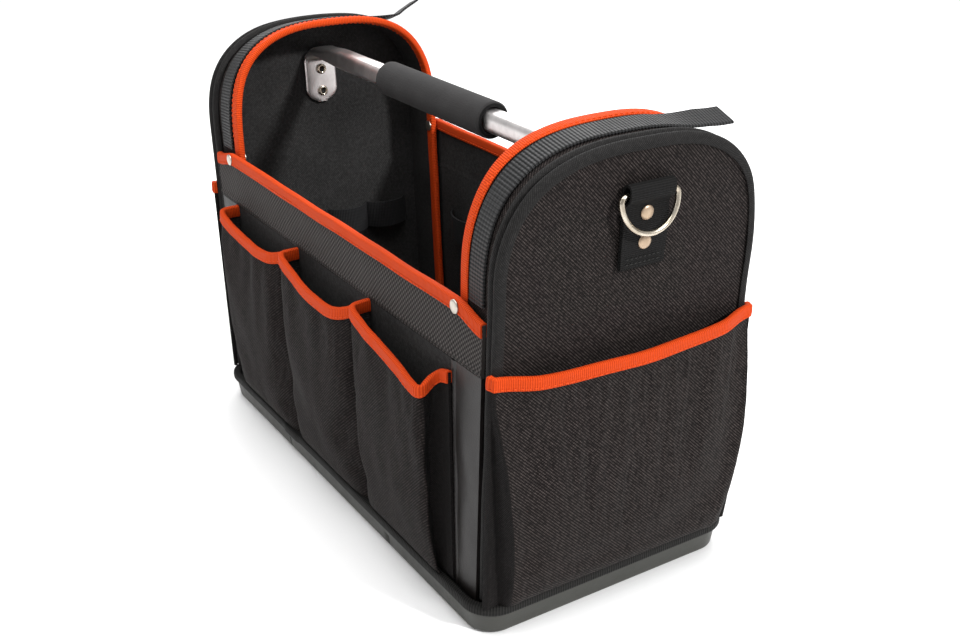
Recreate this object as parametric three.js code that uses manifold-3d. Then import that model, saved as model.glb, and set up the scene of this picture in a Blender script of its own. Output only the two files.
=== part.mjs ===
// An open tool bag: a hard base tray, arched ends with gussets, long walls with bellows pockets
// and a steel tube handle. Millimetres, +Z up. The length runs along X, the front faces -Y, and
// the middle of the tray's underside is the origin.
import * as THREE from "three";
import { mergeVertices } from "three/addons/utils/BufferGeometryUtils.js";
import Module from "manifold-3d";

const wasm = await Module();
wasm.setup();

// Driving dimensions
const GAP = 0.3; // clearance between pieces that touch
const TRAY = { halfLength: 205, halfWidth: 101, draft: 2.5, height: 16, floor: 3, corner: 14 };
const SLOT = { x: [-82, 82], width: 2, depth: 1.2, height: 9 };
const HEM = { halfLength: 208, halfWidth: 103.5, height: 7, corner: 22 };
const PANEL = { x: 201, z: 18, lean: 0.055, thick: 3 };
const ARCH = { half: 90, crest: 306, innerHalf: 88, innerCrest: 314, spring: 230, power: 2.75, depth: 45 };
const GUSSET_THICK = 2.4;
const TAPE = { thick: 0.9, width: 7.2 }; // folded edge tape
const STRAP = { inner: -34.6, outer: -18.5, thick: 1.8, liftStep: 12, tail: 56, dip: 0.17, rise: 0.0024 };
const WALL = {
  inside: 92.2, outside: 94.6, foot: 3.5, bandFoot: 180, top: 219.3, endInset: 12.9, cornerX: 165,
};
const RIM_RIVET = { inset: 41, z: 215.8, shank: 2, head: 4.4 };
const POCKET = { middles: [-112, 0, 112], cloth: 1.8, mouth: 179, sewn: 2.2, footShare: 0.36 };
const END_POCKET = {
  halfWidth: 98.2, cloth: 1.8, mouth: 186, sag: 5, side: -1.5,
  footDepth: 8.5, mouthDepth: 9.5, belly: 4, bulge: 5.4, pleat: 13,
};
const HANDLE = { y: 4, z: 284, size: 15, power: 3.2, flat: 38, bend: 9.5, foot: 241 };
const PLATE = { width: 28, thick: 3.6 };
const GRIP = { from: -86, to: 57, radius: 12.8, bore: 9, round: 1.5 };
const HANDLE_RIVET = { upper: 267.5, lower: 249.5, shank: 2.4, head: 4.6 };
const TAB = { halfWidth: 16.5, foot: 234, web: 1.4, loopOut: 4.3, loopRise: 3, lip: 1.2 };
const RING = { z: 280, wire: 1.8, halfWidth: 20.4, corner: 3.4, tilt: 8 };
const LOOP = { cloth: 1.6, depth: 10, foot: 124, top: 147 };

// Materials
const matt = (color, roughness) => new THREE.MeshStandardMaterial({ color, roughness, metalness: 0 });
const steel = (color, roughness) => new THREE.MeshStandardMaterial({ color, roughness, metalness: 1 });
const CLOTH = matt(0x262322, 0.85);
const COARSE_CLOTH = matt(0x3a3837, 0.8);
const VINYL = matt(0x45413f, 0.45);
const WEBBING = matt(0x2e2d2d, 0.75);
const ORANGE = matt(0xe14f19, 0.7);
const PLASTIC = matt(0x3e3e3a, 0.5);
const FOAM = matt(0x3c3b3c, 0.95);
const CHROME = steel(0xd9dbdc, 0.2);
const NICKEL = steel(0xcfc5b4, 0.3);

// Turns a closed geometry's faces outwards.
function facingOut(geometry) {
  const bare = new THREE.BufferGeometry().setAttribute("position", geometry.getAttribute("position"));
  const made = mergeVertices(bare.setIndex(geometry.getIndex()), 1e-4);
  const point = (i) => new THREE.Vector3().fromBufferAttribute(made.attributes.position, made.index.getX(i));
  let volume = 0;
  for (let i = 0; i < made.index.count; i += 3) {
    volume += point(i).dot(point(i + 1).cross(point(i + 2)));
  }
  if (volume < 0) made.setIndex([...made.index.array].reverse());
  return made;
}

// A closed body through rings of points. outline is the rings' shape in their own plane, for the
// two ends; without it the last ring joins the first.
function loft(rings, outline) {
  const count = rings[0].length;
  const index = [];
  const bands = outline ? rings.length - 1 : rings.length;
  for (let r = 0; r < bands; r++) {
    const low = r * count;
    const high = ((r + 1) % rings.length) * count;
    for (let i = 0; i < count; i++) {
      const j = (i + 1) % count;
      index.push(low + i, low + j, high + j, low + i, high + j, high + i);
    }
  }
  if (outline) {
    const last = (rings.length - 1) * count;
    const turned = THREE.ShapeUtils.isClockWise(outline);
    for (const [a, b, c] of THREE.ShapeUtils.triangulateShape(outline, [])) {
      const [from, to] = turned ? [a, c] : [c, a];
      index.push(from, b, to, last + to, last + b, last + from);
    }
  }
  const geometry = new THREE.BufferGeometry().setFromPoints(rings.flat());
  return facingOut(geometry.setIndex(index));
}

const outlineOf = (pairs) => pairs.map(([a, b]) => new THREE.Vector2(a, b));

// Cuts bodies out of a body.
function cut(geometry, cutters) {
  const solid = (shape) => {
    const merged = facingOut(shape);
    const triVerts = new Uint32Array(merged.index.array);
    const vertProperties = new Float32Array(merged.attributes.position.array);
    return new wasm.Manifold(new wasm.Mesh({ numProp: 3, vertProperties, triVerts }));
  };
  const left = cutters.reduce((body, cutter) => body.subtract(solid(cutter)), solid(geometry));
  const mesh = left.getMesh();
  const made = new THREE.BufferGeometry();
  made.setAttribute("position", new THREE.BufferAttribute(mesh.vertProperties, 3));
  return made.setIndex(new THREE.BufferAttribute(mesh.triVerts, 1));
}

// A hole for a rivet across the bag's width.
const HOLE_SLACK = 0.4;
const HOLE_LENGTH = 40;
function holeAcross(x, y, z, shank) {
  const radius = shank + HOLE_SLACK;
  return new THREE.CylinderGeometry(radius, radius, HOLE_LENGTH, 10).translate(x, y, z);
}

// Outer face of the near end panel, which leans outwards going up.
const panelX = (z) => PANEL.x + PANEL.lean * (z - PANEL.z);
const LEAN_ANGLE = Math.atan(PANEL.lean);

// The two holes for handle rivets, square to the near or the far end panel.
function handleHoles(side) {
  const radius = HANDLE_RIVET.shank + HOLE_SLACK;
  return [HANDLE_RIVET.upper, HANDLE_RIVET.lower].map((z) => {
    const hole = new THREE.CylinderGeometry(radius, radius, HOLE_LENGTH, 10).rotateZ(Math.PI / 2);
    return hole.rotateY(side * LEAN_ANGLE).translate(side * panelX(z), HANDLE.y, z);
  });
}

// A superellipse's place and outward direction at an angle.
function superPoint(angle, halfA, halfB, power) {
  const c = Math.cos(angle);
  const s = Math.sin(angle);
  const reach = (Math.abs(c) ** power + Math.abs(s) ** power) ** (-1 / power);
  const normal = new THREE.Vector2(
    (Math.sign(c) * Math.abs(reach * c) ** (power - 1)) / halfA,
    (Math.sign(s) * Math.abs(reach * s) ** (power - 1)) / halfB,
  ).normalize();
  return { a: halfA * reach * c, b: halfB * reach * s, normal };
}

// Steps along the arch from the front foot over the crest to the back foot: a straight side has a
// height, and the top has an angle.
const TOP_STEPS = 20;
const topAngle = (i) => Math.PI * (1 - i / TOP_STEPS);
function archSteps(foot) {
  const sides = [foot, (foot + ARCH.spring) / 2];
  const top = Array.from({ length: TOP_STEPS + 1 }, (_, i) => topAngle(i));
  return [
    ...sides.map((z) => ({ side: -1, z })),
    ...top.map((angle) => ({ angle })),
    ...sides.reverse().map((z) => ({ side: 1, z })),
  ];
}

// A point near the arch: u is its place along the length from the panel's outer face, and v its
// distance out from the gusset's outer face.
function archPoint(step, u, v) {
  const inwards = -u / ARCH.depth;
  const half = ARCH.half + (ARCH.innerHalf - ARCH.half) * inwards;
  const crest = ARCH.crest + (ARCH.innerCrest - ARCH.crest) * inwards;
  let y = step.side * (half + v);
  let z = step.z;
  if (step.angle !== undefined) {
    const top = superPoint(step.angle, half, crest - ARCH.spring, ARCH.power);
    y = top.a + top.normal.x * v;
    z = ARCH.spring + top.b + top.normal.y * v;
  }
  return new THREE.Vector3(panelX(z) + u, y, z);
}

// A body with one section all along the arch.
function archSweep(section, steps) {
  const rings = steps.map((step) => section.map(([u, v]) => archPoint(step, u, v)));
  return loft(rings, outlineOf(section));
}

// A folded tape's section round an edge: the cloth fills depth 0 to -cloth, and its edge is at 0.
function tapeSection(cloth) {
  const far = cloth + GAP;
  return [
    [-TAPE.width, GAP], [-TAPE.width, GAP + TAPE.thick], [TAPE.thick + GAP, GAP + TAPE.thick],
    [TAPE.thick + GAP, -far - TAPE.thick], [-TAPE.width, -far - TAPE.thick], [-TAPE.width, -far],
    [GAP, -far], [GAP, GAP],
  ];
}

// Base tray, open on top
function roundedRectangle(halfLength, halfWidth, corner, z) {
  const points = [];
  for (const [sx, sy, turn] of [[1, 1, 0], [-1, 1, 1], [-1, -1, 2], [1, -1, 3]]) {
    for (let i = 0; i <= 4; i++) {
      const angle = ((turn + i / 4) * Math.PI) / 2;
      const x = sx * (halfLength - corner) + corner * Math.cos(angle);
      const y = sy * (halfWidth - corner) + corner * Math.sin(angle);
      points.push(new THREE.Vector3(x, y, z));
    }
  }
  return points;
}
const TRAY_INSIDE = { halfLength: PANEL.x + 0.8, halfWidth: WALL.outside + GAP, corner: 8 };

function baseTray() {
  const { halfLength, halfWidth, draft, height, corner } = TRAY;
  const edge = 1.5;
  const shelf = (z) => roundedRectangle(TRAY_INSIDE.halfLength, TRAY_INSIDE.halfWidth, TRAY_INSIDE.corner, z);
  const rings = [
    roundedRectangle(halfLength - draft - edge, halfWidth - draft - edge, corner - draft - edge, 0),
    roundedRectangle(halfLength - draft, halfWidth - draft, corner - draft, edge),
    roundedRectangle(halfLength, halfWidth, corner, height),
    shelf(height),
    shelf(TRAY.floor),
  ];
  const slots = [];
  for (const side of [-1, 1]) {
    for (const x of SLOT.x) {
      const slot = new THREE.BoxGeometry(SLOT.width, 2 * SLOT.depth, SLOT.height);
      slots.push(slot.translate(x, side * (halfWidth - draft / 2), SLOT.height / 2 + edge));
    }
  }
  return cut(loft(rings, rings[0].map((p) => new THREE.Vector2(p.x, p.y))), slots);
}

// Hem tape that runs round the foot of the cloth, on the tray's rim
const HEM_FOOT = TRAY.height + GAP;
const HEM_TOP = HEM_FOOT + HEM.height;
function hemTape() {
  const inner = { halfLength: TRAY_INSIDE.halfLength + GAP, halfWidth: TRAY_INSIDE.halfWidth + 0.1 };
  const outside = (z) => roundedRectangle(HEM.halfLength, HEM.halfWidth, HEM.corner, z);
  const inside = (z) => roundedRectangle(inner.halfLength, inner.halfWidth, TRAY_INSIDE.corner, z);
  return loft([outside(HEM_FOOT), outside(HEM_TOP), inside(HEM_TOP), inside(HEM_FOOT)]);
}

// Rivets: a head at each end of a shank, turned about the shank, whose cloth lies from 0 to grip
function rivet(shank, head, grip) {
  const dome = 1.4;
  const profile = [
    [0, -dome], [0.65 * head, -dome], [head, -GAP], [shank, -GAP],
    [shank, grip + GAP], [head, grip + GAP], [0.7 * head, grip + dome], [0, grip + dome],
  ];
  return facingOut(new THREE.LatheGeometry(outlineOf(profile), 8));
}

// End panel, inside the gusset's ring
function endPanel() {
  const inset = -GUSSET_THICK - GAP;
  const steps = archSteps(WALL.foot);
  const outer = -GAP;
  const face = (u) => steps.map((step) => archPoint(step, u, inset));
  const rings = [face(outer - PANEL.thick), face(outer)];
  return cut(loft(rings, rings[0].map((p) => new THREE.Vector2(p.y, p.z))), handleHoles(1));
}

// Places of the corner rivets on the near end
const RIVET_X = panelX(RIM_RIVET.z) - RIM_RIVET.inset;
const rimHoles = (xs) => xs.map((x) => holeAcross(x, -ARCH.half, RIM_RIVET.z, RIM_RIVET.shank));
const bothRimHoles = () => [-1, 1].map((side) =>
  holeAcross(RIVET_X, side * ARCH.half, RIM_RIVET.z, RIM_RIVET.shank));

function gusset() {
  const outer = -GAP;
  const section = [[-ARCH.depth, -GUSSET_THICK], [outer, -GUSSET_THICK], [outer, 0], [-ARCH.depth, 0]];
  return cut(archSweep(section, archSteps(WALL.foot)), bothRimHoles());
}

function archBinding() {
  const section = tapeSection(GUSSET_THICK).map(([along, out]) => [-ARCH.depth - along, out]);
  return cut(archSweep(section, archSteps(WALL.foot)), bothRimHoles());
}

// Two rolls side by side, the second over the corner of panel and gusset
function edgePiping() {
  const section = [
    [-10.8, 0.3], [-10.8, 2.6], [-9.2, 4.4], [-7, 4.2], [-5.4, 1.8], [-4.2, 4.1], [-2.2, 4.9],
    [-0.2, 4.1], [0.7, 2.2], [0.6, 0.3],
  ];
  return archSweep(section, archSteps(HEM_TOP + GAP));
}

// Webbing from the front rim over the crest, with a free tail past the middle
function archStrap() {
  const { inner, outer, thick, liftStep, tail, dip, rise } = STRAP;
  const section = [[inner, GAP], [outer, GAP], [outer, GAP + thick], [inner, GAP + thick]];
  const rimTop = WALL.top + 2 * GAP + TAPE.thick;
  const steps = [{ side: -1, z: rimTop + GAP }];
  for (let i = 0; i <= liftStep; i++) {
    steps.push({ angle: topAngle(i) });
  }
  const rings = steps.map((step) => section.map(([u, v]) => archPoint(step, u, v)));
  for (let i = 1; i <= 4; i++) {
    const along = (tail * i) / 4;
    const slope = 2 * rise * along - dip;
    const out = new THREE.Vector2(-slope, 1).normalize();
    rings.push(section.map(([u, v]) => {
      const root = archPoint({ angle: topAngle(liftStep) }, u, 0);
      const y = root.y + along + out.x * v;
      const z = root.z + rise * along ** 2 - dip * along + out.y * v;
      return new THREE.Vector3(root.x, y, z);
    }));
  }
  return loft(rings, outlineOf(section));
}

// A flat piece of the front wall between two heights; the ends are places or follow the panels
const wallEnd = (z) => panelX(z) - WALL.endInset;
function wallPiece(left, right, foot, top) {
  const corners = [[left(foot), foot], [right(foot), foot], [right(top), top], [left(top), top]];
  const face = (y) => corners.map(([x, z]) => new THREE.Vector3(x, -y, z));
  return loft([face(WALL.inside), face(WALL.outside)], outlineOf(corners));
}
const at = (x) => () => x;
const wall = () => wallPiece(at(GAP - WALL.cornerX), at(WALL.cornerX - GAP), WALL.foot, WALL.bandFoot - GAP);
const cornerPanel = () => wallPiece(at(WALL.cornerX), wallEnd, WALL.foot, WALL.bandFoot - GAP);
const rimBand = () =>
  cut(wallPiece((z) => -wallEnd(z), wallEnd, WALL.bandFoot, WALL.top), rimHoles([-RIVET_X, RIVET_X]));

function rimBinding() {
  const section = tapeSection(WALL.outside - WALL.inside);
  const end = wallEnd(WALL.top - TAPE.width);
  const ring = (x) => section.map(([up, out]) => new THREE.Vector3(x, -WALL.outside - out, WALL.top + up));
  return cut(loft([ring(-end), ring(end)], outlineOf(section)), rimHoles([-RIVET_X, RIVET_X]));
}

function rimRivet() {
  const outside = WALL.outside + GAP + TAPE.thick;
  const inside = archPoint({ side: 1, z: RIM_RIVET.z }, -RIM_RIVET.inset, -GUSSET_THICK - GAP - TAPE.thick).y;
  const made = rivet(RIM_RIVET.shank, RIM_RIVET.head, outside - inside);
  return made.translate(RIVET_X, -outside, RIM_RIVET.z);
}

// A pouch of one cloth, sewn to its wall along both sides and the foot. plan(level) lists its points
// from side to side, each with its mouth's height, and place(along, out, z) puts one in space.
const POUCH_LEVELS = [0, 0.15, 0.45, 0.92, 1];
const POUCH_FOOT = HEM_TOP + GAP;

function pouchRow(plan, level, offset, rise, place) {
  const points = plan(level);
  return points.map((point, i) => {
    const before = points[Math.max(i - 1, 0)];
    const after = points[Math.min(i + 1, points.length - 1)];
    const step = new THREE.Vector2(after.along - before.along, after.out - before.out).normalize();
    const z = POUCH_FOOT + (point.mouth - POUCH_FOOT) * level + rise;
    return place(point.along - step.y * offset, point.out + step.x * offset, z);
  });
}

// Rows of points turned into rings across them
const acrossRows = (rows) => rows[0].map((_, i) => rows.map((row) => row[i]));

function pouch(plan, cloth, place) {
  const sheet = (levels, offset, put) => levels.map((level) => pouchRow(plan, level, offset, 0, put));
  const rows = (put) => [...sheet(POUCH_LEVELS, 0, put), ...sheet(POUCH_LEVELS.toReversed(), -cloth, put)];
  const rings = acrossRows(rows(place));
  const sections = acrossRows(rows((along, out, z) => new THREE.Vector2(out, z)));
  return loft(rings, sections[Math.floor(sections.length / 2)]);
}

function pouchBinding(plan, cloth, place) {
  const section = tapeSection(cloth);
  return loft(acrossRows(section.map(([up, out]) => pouchRow(plan, 1, out, up, place))), outlineOf(section));
}

// Front pockets, as (along, out, drop of the mouth): square at the far side. The first two run back to
// the wall at the near side, and the third gapes there, with a bellows under its mouth.
const FAR_CORNER = [[-53.6, 0, 0], [-53, 10, 0], [-48.5, 15.2, 1.4], [-36, 16, 5]];
const NEAR_SIDES = [
  [[-10, 15.6, 9.5], [14, 14.8, 11.5], [31, 12.6, 10.5], [42, 8.6, 8], [48.5, 4.6, 5], [53.6, 3, 3]],
  [[-10, 16, 11], [14, 16.2, 13.5], [32, 14.6, 13], [43, 9.6, 10], [49, 4.8, 6], [53.6, 3, 4]],
  [[-10, 16, 11], [15, 17, 15.5], [32, 17.8, 18.5], [41, 17.4, 19], [43, 14, 18.3], [42.4, 7.5, 15],
    [44.5, 3.6, 12.4], [53.6, 3, 8]],
];
const GAPING = 2;
const BELLOWS = { point: 9, tuck: 4.5, under: 0.9 };

function pocketPlan(number) {
  const points = [...FAR_CORNER, ...NEAR_SIDES[number]];
  return (level) => {
    const share = POCKET.footShare + (1 - POCKET.footShare) * (1 - (1 - level) ** 3.2);
    return points.map(([along, deep, drop], i) => {
      const tucked = number === GAPING && i === BELLOWS.point && level < BELLOWS.under;
      const out = deep > POCKET.sewn ? POCKET.sewn + (deep - POCKET.sewn) * share : deep;
      return { along: along - (tucked ? BELLOWS.tuck : 0), out, mouth: POCKET.mouth - drop };
    });
  };
}
const onFrontWall = (middle) => (along, out, z) =>
  new THREE.Vector3(middle + along, -WALL.outside - GAP - out, z);

// End pockets: each side runs out past the piping, then turns along a pleat that opens towards the foot
const SIDE_RUN = { in: 1.2, out: 5 };
const END_FRONT = [66, 33];

function endPlan(level) {
  const { halfWidth, footDepth, mouthDepth, belly, bulge, pleat, mouth, sag } = END_POCKET;
  const rise = Math.min(level / 0.9, 1);
  const depth = THREE.MathUtils.lerp(footDepth, mouthDepth, rise) + belly * Math.sin(Math.PI * rise);
  const swell = (along) => bulge * Math.min(4 * level, 1) * (1 - (along / halfWidth) ** 2);
  const turn = halfWidth - 2 - pleat * (1 - rise ** 1.5);
  const half = [
    [halfWidth, 0], [halfWidth - SIDE_RUN.in, SIDE_RUN.out], [turn, depth],
    ...END_FRONT.map((along) => [along, depth + swell(along)]),
  ];
  const mirrored = half.map(([along, out]) => [-along, out]);
  return [...mirrored, [0, depth + swell(0)], ...half.reverse()].map(([along, out]) =>
    ({ along, out, mouth: mouth - sag * (1 - (along / halfWidth) ** 2) }));
}
const onEnd = (along, out, z) => new THREE.Vector3(panelX(z) + END_POCKET.side + out, along, z);

// Webbing tab folded round the D-ring's bar
const BAR_X = panelX(RING.z) + TAB.loopOut;
function ringTab() {
  const back = GAP;
  const front = back + 2 * TAB.web + 0.1;
  const radius = TAB.loopOut - back;
  const shape = new THREE.Shape();
  shape.moveTo(back, TAB.foot);
  shape.lineTo(back, RING.z + TAB.loopRise);
  shape.absarc(TAB.loopOut, RING.z + TAB.loopRise, radius, Math.PI, 0, true);
  shape.lineTo(TAB.loopOut + radius, RING.z - TAB.lip);
  shape.lineTo(front, RING.z - TAB.lip - 1.8 * radius);
  shape.lineTo(front, TAB.foot);
  shape.closePath();
  const bore = new THREE.Path();
  bore.absarc(TAB.loopOut, RING.z, RING.wire + HOLE_SLACK, 0, 2 * Math.PI, false);
  shape.holes.push(bore);
  const depth = 2 * TAB.halfWidth;
  const flat = new THREE.ExtrudeGeometry(shape, { depth, bevelEnabled: false, curveSegments: 8 });
  const points = flat.getAttribute("position");
  for (let i = 0; i < points.count; i++) {
    const z = points.getY(i);
    points.setXYZ(i, panelX(z) + points.getX(i), HANDLE.y - TAB.halfWidth + points.getZ(i), z);
  }
  return cut(flat, handleHoles(1));
}

// D-ring hanging from its bar, held a little out from the tab: the bar's corners and the half circle
function dRing() {
  const { wire, halfWidth, corner } = RING;
  const path = [];
  const arc = (y, z, radius, from, to, steps) => {
    for (let i = 0; i <= steps; i++) {
      const angle = from + ((to - from) * i) / steps;
      path.push(new THREE.Vector2(y + radius * Math.cos(angle), z + radius * Math.sin(angle)));
    }
  };
  arc(halfWidth - corner, -corner, corner, Math.PI / 2, Math.PI / 6, 2);
  arc(0, -corner, halfWidth, 0, -Math.PI, 10);
  arc(corner - halfWidth, -corner, corner, (Math.PI * 5) / 6, Math.PI / 2, 2);
  const rings = path.map((point, i) => {
    const before = path[(i + path.length - 1) % path.length];
    const after = path[(i + 1) % path.length];
    const along = after.clone().sub(before).normalize();
    return Array.from({ length: 8 }, (_, k) => {
      const angle = (k * Math.PI) / 4;
      const side = wire * Math.cos(angle);
      const x = wire * Math.sin(angle);
      return new THREE.Vector3(x, point.x - along.y * side, point.y + along.x * side);
    });
  });
  const tilt = THREE.MathUtils.degToRad(RING.tilt);
  return loft(rings).rotateY(-tilt).translate(BAR_X, HANDLE.y, RING.z);
}

// Steel tube with ends flattened and bent down along the panels
const PLATE_X = -GAP - PANEL.thick - GAP - PLATE.thick / 2;
function handleTube() {
  const { size, power, bend, flat, foot } = HANDLE;
  const turn = Math.PI / 2 + LEAN_ANGLE;
  const plateTop = HANDLE.z - bend + bend * Math.cos(turn);
  const bendX = panelX(plateTop) + PLATE_X - bend * Math.sin(turn);
  const mix = THREE.MathUtils.lerp;
  const neck = { width: 22, thick: 8 };
  const steps = [{ x: 0, z: HANDLE.z, angle: 0, width: size, thick: size }];
  for (const part of [0, 0.35, 0.7]) {
    const ease = part ** 1.5;
    steps.push({
      x: bendX - flat * (1 - part), z: HANDLE.z, angle: 0,
      width: mix(size, neck.width, ease), thick: mix(size, neck.thick, ease),
    });
  }
  for (const part of [0, 0.25, 0.5, 0.75, 1]) {
    const angle = turn * part;
    steps.push({
      x: bendX + bend * Math.sin(angle), z: HANDLE.z - bend + bend * Math.cos(angle), angle,
      width: mix(neck.width, PLATE.width, part), thick: mix(neck.thick, PLATE.thick, part),
    });
  }
  for (const [z, share] of [[foot + 6, 1], [foot + 1.5, 0.8], [foot, 0.6]]) {
    steps.push({ x: panelX(z) + PLATE_X, z, angle: turn, width: share * PLATE.width, thick: PLATE.thick });
  }
  const section = ({ width, thick }) =>
    Array.from({ length: 16 }, (_, i) => superPoint(((i + 0.5) * Math.PI) / 8, width / 2, thick / 2, power));
  const ring = (step, side) => section(step).map(({ a, b }) =>
    new THREE.Vector3(
      side * (step.x + b * Math.sin(step.angle)), HANDLE.y + a, step.z + b * Math.cos(step.angle)));
  const rings = [
    ...steps.slice(1).reverse().map((step) => ring(step, -1)),
    ...steps.map((step) => ring(step, 1)),
  ];
  const holes = [...handleHoles(1), ...handleHoles(-1)];
  return cut(loft(rings, section(steps[0]).map(({ a, b }) => new THREE.Vector2(a, b))), holes);
}

function foamGrip() {
  const { radius, bore, round } = GRIP;
  const length = GRIP.to - GRIP.from;
  const profile = [
    [bore, 0], [radius - round, 0], [radius, round], [radius, length - round], [radius - round, length],
    [bore, length], [bore, 0],
  ];
  const turned = facingOut(new THREE.LatheGeometry(outlineOf(profile), 20));
  return turned.rotateZ(-Math.PI / 2).translate(GRIP.from, HANDLE.y, HANDLE.z);
}

// Rivet through tab, panel and handle plate, from the outside inwards
function handleRivet(z) {
  const outside = GAP + 2 * TAB.web + 0.1;
  const inside = PLATE_X - PLATE.thick / 2;
  const made = rivet(HANDLE_RIVET.shank, HANDLE_RIVET.head, outside - inside);
  return made.rotateZ(Math.PI / 2).rotateY(LEAN_ANGLE).translate(panelX(z) + outside, HANDLE.y, z);
}

// Elastic band sewn down between its loops; place(along, out, z) puts it on its wall.
function loopBand(start, pitch, count, place) {
  const steps = 5;
  const rings = [];
  for (let i = 0; i <= count * steps; i++) {
    const lift = LOOP.depth * Math.sin((Math.PI * (i % steps)) / steps) ** 0.7;
    const along = start + (pitch * i) / steps;
    const near = GAP + lift;
    const far = near + LOOP.cloth;
    rings.push([[near, LOOP.foot], [far, LOOP.foot], [far, LOOP.top], [near, LOOP.top]]
      .map(([out, z]) => place(along, out, z)));
  }
  return loft(rings, outlineOf([[0, 0], [1, 0], [1, 1], [0, 1]]));
}
const insideFarEnd = (along, out, z) =>
  new THREE.Vector3(-(panelX(z) - GAP - PANEL.thick) + out, along, z);
const insideBackWall = (along, out, z) => new THREE.Vector3(along, WALL.inside - out, z);

// Assembly: the far end mirrors the near end, and the back wall mirrors the front wall.
const bag = new THREE.Group();
function add(name, geometry, material, mirror = [1, 1]) {
  const mesh = new THREE.Mesh(geometry, material);
  mesh.name = name;
  mesh.scale.set(mirror[0], mirror[1], 1);
  bag.add(mesh);
}
const ENDS = [["near", 1], ["far", -1]];
const SIDES = [["front", 1], ["back", -1]];

add("base_tray", baseTray(), PLASTIC);
add("hem_tape", hemTape(), WEBBING);
add("handle_tube", handleTube(), CHROME);
add("foam_grip", foamGrip(), FOAM);
add("loops_far_end", loopBand(-76, 38, 4, insideFarEnd), WEBBING);
add("loops_back_wall", loopBand(-144, 48, 6, insideBackWall), WEBBING);

for (const [end, sx] of ENDS) {
  add(`end_panel_${end}`, endPanel(), CLOTH, [sx, 1]);
  add(`gusset_${end}`, gusset(), CLOTH, [sx, 1]);
  add(`arch_binding_${end}`, archBinding(), ORANGE, [sx, 1]);
  add(`edge_piping_${end}`, edgePiping(), WEBBING, [sx, 1]);
  add(`arch_strap_${end}`, archStrap(), WEBBING, [sx, 1]);
  add(`end_pocket_${end}`, pouch(endPlan, END_POCKET.cloth, onEnd), CLOTH, [sx, 1]);
  add(`end_pocket_binding_${end}`, pouchBinding(endPlan, END_POCKET.cloth, onEnd), ORANGE, [sx, 1]);
  add(`ring_tab_${end}`, ringTab(), WEBBING, [sx, 1]);
  add(`d_ring_${end}`, dRing(), NICKEL, [sx, 1]);
  add(`handle_rivet_${end}_upper`, handleRivet(HANDLE_RIVET.upper), NICKEL, [sx, 1]);
  add(`handle_rivet_${end}_lower`, handleRivet(HANDLE_RIVET.lower), NICKEL, [sx, 1]);
}
for (const [side, sy] of SIDES) {
  add(`wall_${side}`, wall(), CLOTH, [1, sy]);
  add(`rim_band_${side}`, rimBand(), COARSE_CLOTH, [1, sy]);
  add(`rim_binding_${side}`, rimBinding(), ORANGE, [1, sy]);
  POCKET.middles.forEach((middle, i) => {
    const made = [pocketPlan(i), POCKET.cloth, onFrontWall(middle)];
    add(`pocket_${side}_${i + 1}`, pouch(...made), CLOTH, [1, sy]);
    add(`pocket_binding_${side}_${i + 1}`, pouchBinding(...made), ORANGE, [1, sy]);
  });
  for (const [end, sx] of ENDS) {
    add(`corner_panel_${side}_${end}`, cornerPanel(), VINYL, [sx, sy]);
    add(`rim_rivet_${side}_${end}`, rimRivet(), NICKEL, [sx, sy]);
  }
}

export default bag;
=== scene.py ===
"""Looks of an open tool bag, in the frame of its CAD model.

Shapes are worked out in millimetres in that frame (length along X, front towards -Y, +Z up) and
turned into metres when a mesh is made. The far end mirrors the near end in X, and the back side
mirrors the front side in Y.
"""

from math import atan, copysign, cos, hypot, pi, radians, sin, sqrt
from types import SimpleNamespace as Sizes

import bmesh
import bpy
import numpy as np
from mathutils import Matrix, Vector


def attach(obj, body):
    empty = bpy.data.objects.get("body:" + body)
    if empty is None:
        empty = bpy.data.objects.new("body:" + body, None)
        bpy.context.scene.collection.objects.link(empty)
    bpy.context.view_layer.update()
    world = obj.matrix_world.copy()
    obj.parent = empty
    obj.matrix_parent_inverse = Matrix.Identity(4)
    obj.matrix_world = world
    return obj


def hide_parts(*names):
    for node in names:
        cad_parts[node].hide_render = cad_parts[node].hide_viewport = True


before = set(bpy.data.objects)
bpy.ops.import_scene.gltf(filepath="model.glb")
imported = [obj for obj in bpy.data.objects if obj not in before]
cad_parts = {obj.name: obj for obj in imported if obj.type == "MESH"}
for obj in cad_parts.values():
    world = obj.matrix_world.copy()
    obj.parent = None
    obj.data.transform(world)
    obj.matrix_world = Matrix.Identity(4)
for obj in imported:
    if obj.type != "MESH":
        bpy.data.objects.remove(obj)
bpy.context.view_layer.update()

MM = 0.001
GAP = 0.3

# Sizes in millimetres and angles in radians, close to those of the solids in the frame
TRAY = Sizes(length=205, width=101, draft=2.5, height=16, floor=3, corner=20, edge=2.6, well_corner=16,
             clearance=0.8)
SLOT = Sizes(x=(-82, 82), width=2, depth=1.2, corner=0.8, foot=1.5, height=9)
HEM = Sizes(length=208, width=103.5, foot=16.3, top=23.3, corner=22, bulge=2.9, lap=(-84, -60), lap_rise=0.9)
PANEL = Sizes(x=201, z=18, lean=0.055, thick=3)
ARCH = Sizes(half=90, crest=306, inner_half=88, inner_crest=314, spring=230, power=2.75, depth=45)
GUSSET = 2.4
TAPE = Sizes(thick=0.9, width=7.2, seam=5.8)
STRAP = Sizes(inner=-34.6, outer=-18.5, thick=1.8, foot=221.4, lift=radians(72), tail=56, dip=0.17,
              rise=0.0024)
WALL = Sizes(inside=92.2, outside=94.6, foot=3.5, band=180, top=219.3, inset=12.9, corner=165, soft=176)
VINYL_FOLD = Sizes(width=3.0, slope=0.8, height=0.9, seam=2.2)
RIM_RIVET = Sizes(inset=41, z=215.8, shank=2, head=4.4, pull=5.5, run=27)
POUCH_FOOT = HEM.top + GAP
POCKET = Sizes(cloth=1.8, mouth=179, middles=(-112, 0, 112))
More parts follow.
